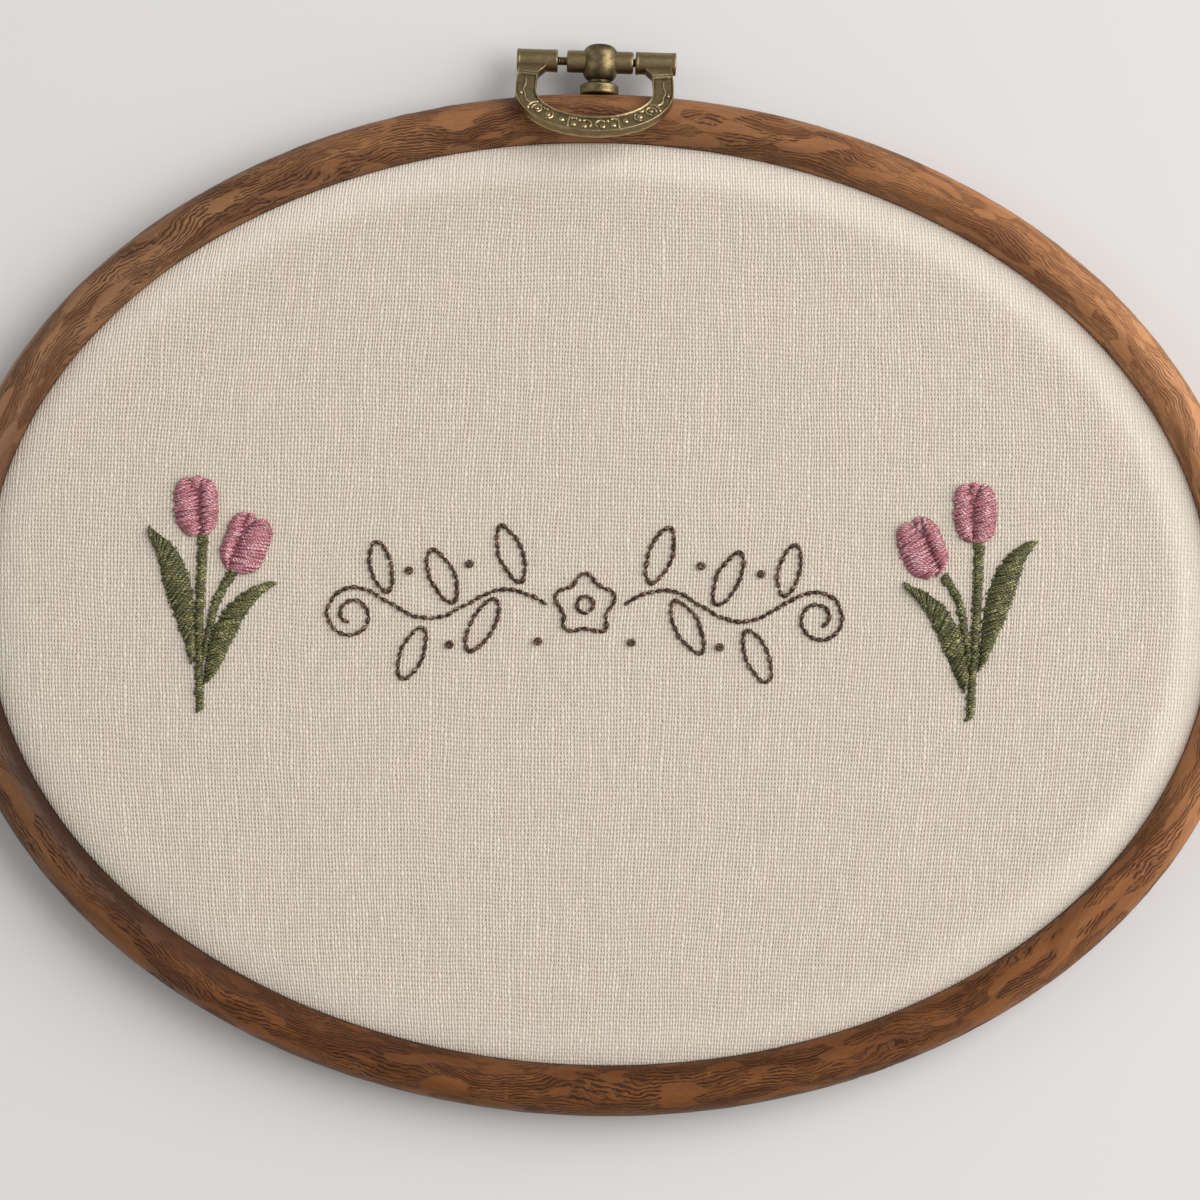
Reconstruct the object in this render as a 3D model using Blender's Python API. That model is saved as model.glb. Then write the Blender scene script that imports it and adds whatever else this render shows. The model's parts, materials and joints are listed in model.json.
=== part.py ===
"""Oval embroidery hoop lying on its back: cloth stretched between two rings, with a brass hanger.

The hoop lies in the XY plane with its face to +Z and its hanger at +Y, resting on z = 0. The origin is
the middle of the bounding box at the bottom. Lengths are in millimetres until a mesh is made.
"""
import math

import bmesh
import bpy
from mathutils import Matrix, Vector

MM = 0.001          # metres in a millimetre
GAP = 0.3           # clearance between neighbouring pieces

# Opening of the outer ring, an ellipse, and the rim around it
OPENING_A = 92.35   # half width
OPENING_B = 69.55   # half height
RIM_SIDE = 6.6      # rim width at the left and right ends
RIM_TOP = 7.5       # rim width at the top and bottom
RIM_DEPTH = 9.2     # back to crown
RIM_WALL = 7.0      # top of the inner wall
RIM_EDGE = 0.6      # chamfer where the walls meet the flat back
RING_STEPS = 96     # facets around the oval
HANGER_Z = 5.0      # height of the hanger's centre, at the rim's widest line

# Cloth and the rigid inner ring that it is stretched over
CLOTH = 1.0         # thickness
CLOTH_TOP = 7.3     # height of the stretched face
CLOTH_ROLL = 3.0    # how far in from its edge the face starts to roll down
CLOTH_DROP = 1.3    # how far it has rolled down where it meets the outer ring
CLOTH_HEM = 0.9     # height of the trimmed edge above the back
INNER_WIDTH = 2.8

# Hanger: a turned post with two side stubs, a pin through them, and a swinging bail
POST_X = -2.2       # the hanger stands a little left of the middle
POST_TOP = 84.8
PIN_Y = 82.1
FLANGE_R = 2.95
FLANGE_H = 1.4
BARREL_R = 2.7
NECK_R = 1.7
SHANK_R = 1.1
SHANK_L = 3.2
STUB_R = 1.7
STUB_REACH = 5.05   # from the post's centre to each stub's end
PIN_R = 0.68
SLEEVE_R = 1.77
SLEEVES = ((-12.45, -6.45), (5.36, 11.55))  # from and to, from the post's centre
PIN_INSET = 0.5     # the pin ends this far inside the sleeves
BAIL_SHIFT = -0.7   # the bail's middle, from the post's centre
BAIL_HALF = 10.4    # half width, on the band's centre line
BAIL_LENGTH = 14.4  # from the pin to the bottom of the bow, on the centre line
BAIL_BOW = 7.4      # height of the half ellipse at the bottom
BAIL_LEAN = 0.7     # how far the legs come in at their tops
BAIL_BAND = 3.15
BAIL_THICK = 1.5
BAIL_TILT = 35.8    # degrees above the horizontal, where it lies on the rim

# Stitched design
DESIGN_TURN = 1.15  # degrees anticlockwise against the hoop
THREAD_H = 0.7      # height of the satin stitches
SEAM = 0.36         # gap between two petals
PETAL_END = 0.25    # least width of a petal, at its foot and its tip
PETAL_ROWS = (0.025, 0.955)  # a big petal's foot and tip, as parts of the flower's height
NOTCH_FROM = 0.68   # where the notch between the big petals' tips starts
NOTCH_SLOPE = 0.6   # how fast it opens to each side, for a flower 1 wide and 1 high
LINE_W = 0.58       # width and height of the stitched line
LINE_H = 0.5

# Each sprig: its foot on the hoop, which way it is mirrored, its lean, and its two flowers.
# A flower has its middle measured from the foot, its width and height, its lean, and where its seam
# lies between its left (-1) and right (+1) sides, at the top and at the bottom.
SPRIGS = (
    {"name": "left", "foot": (-59.2, -18.8), "mirror": 1, "lean": 1.0,
     "flowers": {"upright": (-0.9, 31.0, 6.9, 9.2, 2.0, 0.05, 0.25),
                 "leaning": (6.9, 25.4, 7.2, 9.4, -20.0, -0.25, -0.4)}},
    {"name": "right", "foot": (55.9, -16.6), "mirror": -1, "lean": -4.4,
     "flowers": {"upright": (1.0, 31.2, 7.1, 9.4, 2.0, 0.0, -0.2),
                 "leaning": (-7.1, 25.8, 7.2, 9.4, 20.0, 0.2, 0.4)}},
)
# Stems and leaves of the left sprig, foot to tip, and the width at the middle; the right one mirrors them
STEMS = {"tall": (((0.0, 0.0), (0.0, 6.9), (0.0, 13.4), (0.25, 19.8), (0.6, 26.2)), 1.35),
         "bent": (((1.7, 11.0), (1.95, 13.6), (2.85, 17.2), (4.9, 20.9)), 1.15)}
LEAVES = {"outer": (((-1.7, 7.2), (-2.4, 11.0), (-3.25, 15.5), (-4.2, 20.0), (-5.5, 23.8), (-7.4, 27.2)), 4.3),
          "inner": (((1.9, 4.7), (3.75, 9.0), (5.95, 13.2), (8.5, 17.0), (11.3, 19.8)), 4.0)}

# Flourish between the sprigs: a rosette with a wavy vine to each side
FLOURISH = (-2.0, -0.9)   # its middle on the hoop
ROSETTE_R = 4.1
ROSETTE_LOBE = 0.75
ROSETTE_EYE = 1.35
VINE_START = 5.8
VINE_CLEAR = 1.2    # from the vine's line to a leaf's foot
VINE_WAVE = 23.4    # length of one wave
VINE_RISE = 2.3     # height of the wave
CURL_R = 4.1        # the curl at the vine's end
CURL_TURN = 520.0   # degrees
# Leaves of one vine: place along it, side (+1 above), angle from the side's upright, length, width
VINE_LEAVES = ((9.6, 1, -20.0, 9.4, 3.7), (13.2, -1, -28.0, 9.2, 3.6), (19.6, 1, -24.0, 9.0, 3.6),
               (24.2, -1, -22.0, 8.8, 3.5), (29.6, 1, -14.0, 8.2, 3.3))
# Knots beside the vine: place from the rosette's middle, and radius
VINE_KNOTS = ((7.0, -5.6, 0.62), (17.4, 6.0, 0.62), (20.2, -6.2, 0.62), (26.4, 4.9, 0.62))

RIM_OUTER_B = OPENING_B + RIM_TOP
HOOP_Y = (RIM_OUTER_B - POST_TOP) / 2   # moves the hoop so that the origin is the box's middle


def clear_scene():
    for obj in list(bpy.data.objects):
        bpy.data.objects.remove(obj, do_unlink=True)


def make_material(name, colour, roughness, metallic=0.0):
    material = bpy.data.materials.new(name)
    material.use_nodes = True
    shader = material.node_tree.nodes["Principled BSDF"]
    shader.inputs["Base Color"].default_value = (*colour, 1.0)
    shader.inputs["Roughness"].default_value = roughness
    shader.inputs["Metallic"].default_value = metallic
    return material


def make_object(name, mesh_data, material, place=(0.0, 0.0, 0.0), sharp=35.0):
    """Turn a bmesh in millimetres into a smooth-shaded object in metres, and free the bmesh."""
    bmesh.ops.recalc_face_normals(mesh_data, faces=mesh_data.faces)
    bmesh.ops.scale(mesh_data, vec=(MM, MM, MM), verts=mesh_data.verts)
    mesh = bpy.data.meshes.new(name)
    mesh_data.to_mesh(mesh)
    mesh_data.free()
    mesh.shade_smooth()
    mesh.set_sharp_from_angle(angle=math.radians(sharp))
    mesh.materials.append(material)
    obj = bpy.data.objects.new(name, mesh)
    obj.location = Vector(place) * MM
    bpy.context.scene.collection.objects.link(obj)
    return obj


def loft(sections, closed=False):
    """Bridge a row of closed sections; the row closes on itself, or is capped at both ends."""
    mesh_data = bmesh.new()
    loops = [[mesh_data.verts.new(point) for point in section] for section in sections]
    count = len(loops[0])
    pairs = list(zip(loops, loops[1:]))
    if closed:
        pairs.append((loops[-1], loops[0]))
    for near, far in pairs:
        for i in range(count):
            j = (i + 1) % count
            mesh_data.faces.new((near[i], near[j], far[j], far[i]))
    if not closed:
        mesh_data.faces.new(loops[0])
        mesh_data.faces.new(reversed(loops[-1]))
    return mesh_data


def turned(profile, steps=24):
    """Spin a profile of (radius, height) about Z; it starts and ends on the axis."""
    mesh_data = bmesh.new()
    points = [mesh_data.verts.new((radius, 0.0, height)) for radius, height in profile]
    edges = [mesh_data.edges.new(pair) for pair in zip(points, points[1:])]
    bmesh.ops.spin(mesh_data, geom=points + edges, cent=(0, 0, 0), axis=(0, 0, 1),
                   angle=math.tau, steps=steps, use_merge=True)
    bmesh.ops.remove_doubles(mesh_data, verts=mesh_data.verts, dist=0.0001)
    return mesh_data


def rod(radius, start, end, bevel=0.0, steps=24):
    """A bar along X from start to end, with bevelled edges at its ends."""
    edge = ((radius - bevel, start), (radius, start + bevel)) if bevel else ((radius, start),)
    far = ((radius, end - bevel), (radius - bevel, end)) if bevel else ((radius, end),)
    mesh_data = turned(((0.0, start), *edge, *far, (0.0, end)), steps)
    bmesh.ops.rotate(mesh_data, matrix=Matrix.Rotation(math.radians(90), 3, "Y"), verts=mesh_data.verts)
    return mesh_data


def combine(target, tool_mesh, operation, place=(0.0, 0.0, 0.0)):
    """Add or cut with a hidden tool object by a Boolean modifier."""
    material = target.data.materials[0]
    tool = make_object(target.name + "_tool", tool_mesh, material, place)
    tool.hide_render = True
    tool.display_type = "WIRE"
    modifier = target.modifiers.new(operation.title(), "BOOLEAN")
    modifier.operation = operation
    modifier.object = tool
    return tool


def around_oval(t, offset):
    """Point of the opening's ellipse at angle t, moved out along its normal by offset."""
    x, y = OPENING_A * math.cos(t), OPENING_B * math.sin(t)
    normal = Vector((OPENING_B * math.cos(t), OPENING_A * math.sin(t))).normalized()
    return Vector((x, y)) + offset * normal


def oval_loft(section_at):
    """Carry a section of (offset, z) points, given by a function of the angle, around the oval."""
    sections = []
    for step in range(RING_STEPS):
        t = math.tau * step / RING_STEPS
        sections.append([(*around_oval(t, offset), z) for offset, z in section_at(t)])
    return loft(sections, closed=True)


def super_arc(centre, half, rise, start, end, steps, power=2.3):
    """Points of a rounded, slightly square arch from angle start to end, in degrees."""
    points = []
    for step in range(steps + 1):
        a = math.radians(start + (end - start) * step / steps)
        c, s = math.cos(a), math.sin(a)
        points.append((centre[0] + half * math.copysign(abs(c) ** (2 / power), c),
                       centre[1] + rise * abs(s) ** (2 / power)))
    return points


def rim_section(t):
    """Outer ring: flat back, upright inner wall, rounded outer side and crowned front."""
    width = RIM_SIDE + (RIM_TOP - RIM_SIDE) * math.sin(t) ** 2
    crown = 0.46 * width
    outer = super_arc((crown, HANGER_Z), width - crown, RIM_DEPTH - HANGER_Z, 0, 90, 6)
    inner_half = crown / (1 - ((RIM_WALL - HANGER_Z) / (RIM_DEPTH - HANGER_Z)) ** 2.3) ** (1 / 2.3)
    inner = [point for point in super_arc((crown, HANGER_Z), inner_half, RIM_DEPTH - HANGER_Z, 90, 180, 7)
             if point[0] > 0.25][1:]
    return [(RIM_EDGE, 0.0), (width - 1.5, 0.0), (width - 0.45, 0.8), (width - 0.08, 2.6),
            *outer, *inner, (0.0, RIM_WALL), (0.0, RIM_EDGE)]


def cloth_section(t):
    """Edge of the cloth: the face rolls down over the inner ring and runs down between the rings."""
    outer = -GAP
    shoulder = CLOTH_TOP - CLOTH_DROP
    roll = super_arc((outer - CLOTH_ROLL, shoulder), CLOTH_ROLL, CLOTH_DROP, 90, 0, 5, 2.0)
    under = super_arc((outer - CLOTH_ROLL, shoulder - CLOTH), CLOTH_ROLL - CLOTH, CLOTH_DROP, 0, 90, 4, 2.0)
    return [*roll, (outer, CLOTH_HEM), (outer - CLOTH, CLOTH_HEM), *under]


def inner_section(t):
    """Rigid inner ring: a flat strip with a rounded outer shoulder under the cloth's roll."""
    outer = -(GAP + CLOTH + GAP)
    top = CLOTH_TOP - CLOTH - GAP
    shoulder = super_arc((outer - CLOTH_ROLL + CLOTH, top - CLOTH_DROP), CLOTH_ROLL - CLOTH, CLOTH_DROP,
                         0, 90, 4, 2.0)
    return [(outer - INNER_WIDTH, 0.0), (outer, 0.0), *shoulder, (outer - INNER_WIDTH, top - 0.4)]


def make_cloth(material):
    """The sheet's edge is carried around the oval, and flat faces close it above and below."""
    mesh_data = bmesh.new()
    loops = []
    for step in range(RING_STEPS):
        t = math.tau * step / RING_STEPS
        loops.append([mesh_data.verts.new((*around_oval(t, offset), z)) for offset, z in cloth_section(t)])
    for near, far in zip(loops, loops[1:] + loops[:1]):
        for i in range(len(near) - 1):
            mesh_data.faces.new((near[i], near[i + 1], far[i + 1], far[i]))
    mesh_data.faces.new([loop[0] for loop in loops])
    mesh_data.faces.new([loop[-1] for loop in loops])
    return make_object("cloth", mesh_data, material, (0.0, HOOP_Y, 0.0))


def make_outer_ring(material):
    ring = make_object("outer_ring", oval_loft(rim_section), material, (0.0, HOOP_Y, 0.0))
    socket = rod(SHANK_R + GAP, 0.0, SHANK_L + 1.6, steps=16)
    bmesh.ops.rotate(socket, matrix=Matrix.Rotation(math.radians(90), 3, "Z"), verts=socket.verts)
    combine(ring, socket, "DIFFERENCE", (POST_X, HOOP_Y + RIM_OUTER_B - SHANK_L - GAP, HANGER_Z))
    return ring


def make_post(material):
    """Shank, flange, neck and rounded barrel turned in one, with side stubs and the pin's bore."""
    foot = RIM_OUTER_B + GAP
    waist = foot + FLANGE_H
    profile = [(0.0, foot - SHANK_L), (SHANK_R, foot - SHANK_L), (SHANK_R, foot),
               (FLANGE_R - 0.15, foot), (FLANGE_R, foot + 0.3), (FLANGE_R, waist - 0.45),
               (FLANGE_R - 0.4, waist), (NECK_R, waist + 0.1), (NECK_R + 0.1, waist + 0.4),
               (BARREL_R - 0.3, PIN_Y - 1.9), (BARREL_R, PIN_Y - 1.2), (BARREL_R, PIN_Y + 0.9),
               (BARREL_R - 0.2, PIN_Y + 1.7), (BARREL_R - 0.75, POST_TOP - 0.15), (0.0, POST_TOP)]
    barrel = turned([(radius, height - PIN_Y) for radius, height in profile])
    bmesh.ops.rotate(barrel, matrix=Matrix.Rotation(math.radians(-90), 3, "X"), verts=barrel.verts)
    place = (POST_X, HOOP_Y + PIN_Y, HANGER_Z)
    post = make_object("hanger_post", barrel, material, place)
    combine(post, rod(STUB_R, -STUB_REACH, STUB_REACH, 0.15), "UNION", place)
    combine(post, rod(PIN_R + GAP, -STUB_REACH - 2, STUB_REACH + 2, steps=16), "DIFFERENCE", place)
    return post


def bail_path(steps=28):
    """Centre line of the bail: two legs that lean in, joined by a half ellipse."""
    spring = BAIL_LENGTH - BAIL_BOW
    start = 0.7 * SLEEVE_R
    legs = [spring + (start - spring) * i / 4 for i in range(4, 0, -1)]
    left = [Vector((-BAIL_HALF + BAIL_LEAN * ((spring - v) / spring) ** 2, v)) for v in legs]
    bow = []
    for i in range(steps + 1):
        a = math.pi * i / steps
        bow.append(Vector((-BAIL_HALF * math.cos(a), spring + BAIL_BOW * math.sin(a))))
    return left + bow + [Vector((-point.x, point.y)) for point in reversed(left)]


def path_normals(path, closed=False):
    """Unit normals, to the left of the path's direction."""
    normals = []
    last = len(path) - 1
    for i in range(len(path)):
        before = path[i - 1] if closed or i else path[0]
        after = path[(i + 1) % len(path)] if closed or i < last else path[last]
        along = (after - before).normalized()
        normals.append(Vector((-along.y, along.x)))
    return normals


def make_bail(material):
    """A band with raised borders, bent to a D, with a sleeve across the top of each leg."""
    half, thick = BAIL_BAND / 2, BAIL_THICK / 2
    section = ((-half, -thick), (half, -thick), (half, thick - 0.25), (half - 0.25, thick),
               (half - 0.6, thick), (half - 0.75, thick - 0.35), (0.75 - half, thick - 0.35),
               (0.6 - half, thick), (0.25 - half, thick), (-half, thick - 0.25))
    path = bail_path()
    sections = []
    for point, normal in zip(path, path_normals(path)):
        sections.append([(point.x + normal.x * across, -(point.y + normal.y * across), up)
                         for across, up in section])
    band = loft(sections)
    tilt = Matrix.Rotation(-math.radians(BAIL_TILT), 3, "X")
    bmesh.ops.translate(band, vec=(BAIL_SHIFT, 0, 0), verts=band.verts)
    bmesh.ops.rotate(band, matrix=tilt, verts=band.verts)
    place = (POST_X, HOOP_Y + PIN_Y, HANGER_Z)
    bail = make_object("bail", band, material, place)
    for start, end in SLEEVES:
        combine(bail, rod(SLEEVE_R, start, end, 0.15), "UNION", place)
    combine(bail, rod(PIN_R + GAP, SLEEVES[0][0] - 2, SLEEVES[1][1] + 2, steps=16), "DIFFERENCE", place)
    return bail


def make_pin(material):
    pin = rod(PIN_R, SLEEVES[0][0] + PIN_INSET, SLEEVES[1][1] - PIN_INSET, 0.15, steps=16)
    return make_object("hanger_pin", pin, material, (POST_X, HOOP_Y + PIN_Y, HANGER_Z))


def smooth_curve(points, count):
    """Even steps along a Catmull-Rom curve through the points."""
    knots = [Vector(point) for point in points]
    knots = [2 * knots[0] - knots[1]] + knots + [2 * knots[-1] - knots[-2]]
    curve = []
    spans = len(knots) - 3
    for i in range(count + 1):
        place = spans * i / count
        k = min(int(place), spans - 1)
        t = place - k
        a, b, c, d = knots[k:k + 4]
        curve.append(0.5 * (2 * b + (c - a) * t + (2 * a - 5 * b + 4 * c - d) * t ** 2
                            + (3 * b - a - 3 * c + d) * t ** 3))
    return curve


def on_cloth(point, middle, turn=0.0, mirror=1):
    """Place a design point on the hoop: mirrored, turned and moved."""
    spin = Matrix.Rotation(math.radians(turn + DESIGN_TURN), 2)
    return spin @ Vector((mirror * point[0], point[1])) + Vector(middle)


def pillow(left, right, height):
    """A low cushion of stitches between a left and a right edge line."""
    low = CLOTH_TOP + GAP
    sections = []
    last = len(left) - 1
    for i, (a, b) in enumerate(zip(left, right)):
        rise = height * (0.55 if i in (0, last) else 1.0)
        row = ((0.0, 0.0), (0.04, 0.6), (0.3, 1.0), (0.7, 1.0), (0.96, 0.6), (1.0, 0.0))
        sections.append([(*a.lerp(b, across), low + rise * up) for across, up in row])
    return loft(sections)


def tapered(curve, width, shape):
    """Left and right edges of a curve whose width follows shape(0 to 1)."""
    last = len(curve) - 1
    left, right = [], []
    for i, (point, normal) in enumerate(zip(curve, path_normals(curve))):
        half = 0.5 * width * shape(i / last)
        left.append(point + half * normal)
        right.append(point - half * normal)
    return left, right


def leaf_shape(t):
    """Narrow at the foot, widest past the middle, pointed at the tip."""
    return 0.22 + 0.78 * math.sin(math.pi * t ** 1.1) ** 0.85 if 0 < t < 1 else 0.22


def stem_shape(t):
    return 1.0 - 0.12 * math.cos(math.pi * t)


def flower_edges(width, height, seam_top, seam_foot):
    """Edges of a tulip's two big petals and the small one in the notch between their tips."""
    def outer(v):
        return 0.5 * width * (1 - abs(2 * v - 1) ** (4.0 if v > 0.5 else 2.8)) ** 0.5

    def seam(v):
        room = outer(min(v, tip)) - SEAM / 2 - PETAL_END
        return max(-room, min(room, 0.5 * width * (seam_foot + (seam_top - seam_foot) * v)))

    def notch(v, side):
        room = outer(tip) - side * seam(tip) - SEAM / 2 - PETAL_END
        slope = min(NOTCH_SLOPE * width, room / (tip - NOTCH_FROM))
        return slope * max(0.0, v - NOTCH_FROM)

    foot, tip = PETAL_ROWS
    petals = {"left": [], "right": [], "middle": []}
    for i in range(8):
        v = foot + (tip - foot) * i / 7
        y = height * (v - 0.5)
        left_end = seam(v) - SEAM / 2 - notch(v, -1)
        right_end = seam(v) + SEAM / 2 + notch(v, 1)
        petals["left"].append((Vector((-outer(v), y)), Vector((left_end, y))))
        petals["right"].append((Vector((right_end, y)), Vector((outer(v), y))))
    for i in range(4):
        v = 0.80 + 0.19 * i / 3
        y = height * (v - 0.5)
        left, right = (notch(v, side) - SEAM / 2 if i < 3 else 0.5 * notch(v, side) for side in (-1, 1))
        petals["middle"].append((Vector((seam(v) - left, y)), Vector((seam(v) + right, y))))
    return petals


def make_sprig(sprig, pink, green):
    foot, mirror, lean, side = sprig["foot"], sprig["mirror"], sprig["lean"], sprig["name"]
    for name, (points, width) in STEMS.items():
        curve = [on_cloth(point, foot, lean, mirror) for point in smooth_curve(points, 8)]
        make_stitches(f"{side}_stem_{name}", tapered(curve, width, stem_shape), green)
    for name, (points, width) in LEAVES.items():
        curve = [on_cloth(point, foot, lean, mirror) for point in smooth_curve(points, 9)]
        make_stitches(f"{side}_leaf_{name}", tapered(curve, width, leaf_shape), green)
    for name, (x, y, width, height, turn, seam_top, seam_foot) in sprig["flowers"].items():
        middle = on_cloth((x, y), foot)
        for petal, edges in flower_edges(width, height, seam_top, seam_foot).items():
            left = [on_cloth(a, middle, turn) for a, b in edges]
            right = [on_cloth(b, middle, turn) for a, b in edges]
            make_stitches(f"{side}_{name}_petal_{petal}", (left, right), pink)


def make_stitches(name, edges, material):
    return make_object(name, pillow(*edges, THREAD_H), material, (0.0, HOOP_Y, 0.0), 60.0)


def make_line(name, path, material, closed=False):
    """A stitched line: a low rounded strip along a path."""
    low = CLOTH_TOP + GAP
    row = ((-0.5, 0.0), (-0.42, 0.6), (0.0, 1.0), (0.42, 0.6), (0.5, 0.0))
    sections = []
    for point, normal in zip(path, path_normals(path, closed)):
        sections.append([(*(point + normal * LINE_W * across), low + LINE_H * up) for across, up in row])
    return make_object(name, loft(sections, closed), material, (0.0, HOOP_Y, 0.0), 60.0)


def vine_point(x):
    """The wavy vine: it leaves the rosette rising and has a crest at its end."""
    return Vector((x, VINE_RISE * math.sin(math.tau * (x - VINE_START) / VINE_WAVE)))


def vine_path():
    """One and a quarter waves, then a curl that winds inwards and down."""
    end = VINE_START + 1.25 * VINE_WAVE
    path = [vine_point(VINE_START + (end - VINE_START) * i / 26) for i in range(27)]
    for i in range(1, 21):
        u = i / 20
        radius = CURL_R * (1 - 0.68 * u)
        a = math.radians(90 - CURL_TURN * u)
        path.append(Vector((end + radius * math.cos(a), VINE_RISE - CURL_R + radius * math.sin(a))))
    return path


def leaf_outline(start, angle, length, width, steps=18):
    """A closed almond outline from its foot, at an angle in degrees from +X."""
    turn = Matrix.Rotation(math.radians(angle), 2)
    outline = []
    for i in range(steps):
        a = math.tau * i / steps
        along = 0.5 * length * (1 - math.cos(a))
        across = 0.5 * width * math.sin(a) * (1 - 0.2 * abs(math.cos(a)))
        outline.append(start + turn @ Vector((along, across)))
    return outline


def make_knot(name, middle, radius, material):
    """A small dome on the cloth."""
    low = CLOTH_TOP + GAP
    knot = turned(((0.0, 0.0), (radius, 0.0), (0.85 * radius, 0.6 * LINE_H), (0.4 * radius, LINE_H),
                   (0.0, 1.1 * LINE_H)), 8)
    return make_object(name, knot, material, (middle.x, middle.y + HOOP_Y, low), 60.0)


def make_flourish(material):
    lobes = []
    for i in range(45):
        a = math.tau * i / 45
        radius = ROSETTE_R + ROSETTE_LOBE * math.cos(5 * a - math.pi / 2)
        lobes.append(on_cloth((radius * math.cos(a), radius * math.sin(a)), FLOURISH))
    make_line("rosette", lobes, material, closed=True)
    eye = [on_cloth((ROSETTE_EYE * math.cos(math.tau * i / 12), ROSETTE_EYE * math.sin(math.tau * i / 12)),
                    FLOURISH) for i in range(12)]
    make_line("rosette_eye", eye, material, closed=True)
    for side, mirror in (("left", -1), ("right", 1)):
        vine = [on_cloth(point, FLOURISH, 0.0, mirror) for point in vine_path()]
        make_line(f"vine_{side}", vine, material)
        for number, (x, above, angle, length, width) in enumerate(VINE_LEAVES, 1):
            start = vine_point(x) + Vector((0.0, above * VINE_CLEAR))
            outline = leaf_outline(start, above * (90 + angle), length, width)
            leaf = [on_cloth(point, FLOURISH, 0.0, mirror) for point in outline]
            make_line(f"vine_leaf_{side}_{number}", leaf, material, closed=True)
        for number, (x, y, radius) in enumerate(VINE_KNOTS, 1):
            make_knot(f"vine_knot_{side}_{number}", on_cloth((x, y), FLOURISH, 0.0, mirror), radius, material)


def build():
    clear_scene()
    wood_look = make_material("wood_look", (0.20, 0.085, 0.035), 0.5)
    ivory = make_material("ivory_plastic", (0.62, 0.52, 0.38), 0.45)
    linen = make_material("linen", (0.65, 0.57, 0.47), 0.9)
    brass = make_material("antique_brass", (0.24, 0.18, 0.09), 0.38, 1.0)
    pink = make_material("pink_thread", (0.46, 0.16, 0.19), 0.6)
    green = make_material("olive_thread", (0.11, 0.11, 0.045), 0.6)
    brown = make_material("brown_thread", (0.055, 0.03, 0.02), 0.7)
    make_outer_ring(wood_look)
    make_object("inner_ring", oval_loft(inner_section), ivory, (0.0, HOOP_Y, 0.0))
    make_cloth(linen)
    make_post(brass)
    make_pin(brass)
    make_bail(brass)
    for sprig in SPRIGS:
        make_sprig(sprig, pink, green)
    make_flourish(brown)


build()
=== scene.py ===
# Oval embroidery hoop: linen stretched between two rings, satin-stitched tulips, a stitched vine
# and a swinging brass hanger. Lengths are in millimetres until a mesh is made.
import json
import math

import bmesh
import bpy
import numpy as np
from mathutils import Matrix, Vector


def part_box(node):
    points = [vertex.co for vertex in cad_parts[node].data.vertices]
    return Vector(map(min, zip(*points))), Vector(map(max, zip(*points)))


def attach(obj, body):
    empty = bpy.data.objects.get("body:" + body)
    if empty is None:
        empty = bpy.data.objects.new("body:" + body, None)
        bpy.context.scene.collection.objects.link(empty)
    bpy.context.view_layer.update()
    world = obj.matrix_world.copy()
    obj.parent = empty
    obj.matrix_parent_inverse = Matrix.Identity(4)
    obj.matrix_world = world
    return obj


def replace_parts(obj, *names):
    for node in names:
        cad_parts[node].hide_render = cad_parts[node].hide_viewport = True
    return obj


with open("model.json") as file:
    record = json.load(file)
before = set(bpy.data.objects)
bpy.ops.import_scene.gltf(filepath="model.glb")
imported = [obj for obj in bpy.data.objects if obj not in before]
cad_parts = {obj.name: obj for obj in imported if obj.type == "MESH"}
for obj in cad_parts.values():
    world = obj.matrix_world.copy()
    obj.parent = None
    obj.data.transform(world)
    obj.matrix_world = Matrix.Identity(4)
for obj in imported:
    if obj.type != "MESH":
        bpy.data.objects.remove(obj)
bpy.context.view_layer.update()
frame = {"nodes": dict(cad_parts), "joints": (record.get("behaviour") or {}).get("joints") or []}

mm = 0.001
print("frame loaded:", len(frame["nodes"]), "solids")


def cadBox(node):
    # lowest and highest corner of a solid, in millimetres
    low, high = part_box(node)
    return np.array(low) / mm, np.array(high) / mm


hoop = {
    "sideWidth": 6.6,    # width of the outer ring at its left and right ends
    "topWidth": 7.5,     # and at its top and bottom
    "clearance": 0.3,    # between the cloth and the rings
    "clothTop": 7.3,     # height of the stretched face
}
ringLow, ringHigh = cadBox("outer_ring")
hoopY = (ringLow[1] + ringHigh[1]) / 2
openingA = ringHigh[0] - hoop["sideWidth"]      # half the opening's width and height
openingB = (ringHigh[1] - ringLow[1]) / 2 - hoop["topWidth"]
pinPlace = np.array(frame["joints"][0]["pos_m"]) / mm


def aroundOval(turn, offset):
    # the opening's ellipse at angle turn, moved out along its unit normal by offset
    x, y = openingA * np.cos(turn), openingB * np.sin(turn)
    nx, ny = openingB * np.cos(turn), openingA * np.sin(turn)
    length = np.hypot(nx, ny)
    return np.stack([x + offset * nx / length, y + offset * ny / length + hoopY], -1)


def lengthsAlong(line):
    # how far each point lies along a line
    return np.concatenate([[0], np.cumsum(np.linalg.norm(np.diff(line, axis=0), axis=-1))])


def evenTurns(count, offset):
    # angles that lie at equal steps of length around the oval, and its length
    turn = np.linspace(0, 2 * np.pi, 4001)
    run = lengthsAlong(aroundOval(turn, offset))
    return np.interp(np.arange(count) * run[-1] / count, run, turn), run[-1]


def hills(x, y, seed, repeatX=256):
    # random heights from 0 to 1 on a unit grid, joined by smooth steps; it repeats along x
    table = np.random.default_rng(seed).random((repeatX, 256))
    ix, iy = np.floor(x).astype(int), np.floor(y).astype(int)
    fx, fy = x - ix, y - iy
    fx, fy = fx * fx * (3 - 2 * fx), fy * fy * (3 - 2 * fy)
    a, b, c, d = (table[(ix + i) % repeatX, (iy + j) % 256] for j in (0, 1) for i in (0, 1))
    return (a * (1 - fx) + b * fx) * (1 - fy) + (c * (1 - fx) + d * fx) * fy


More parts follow.
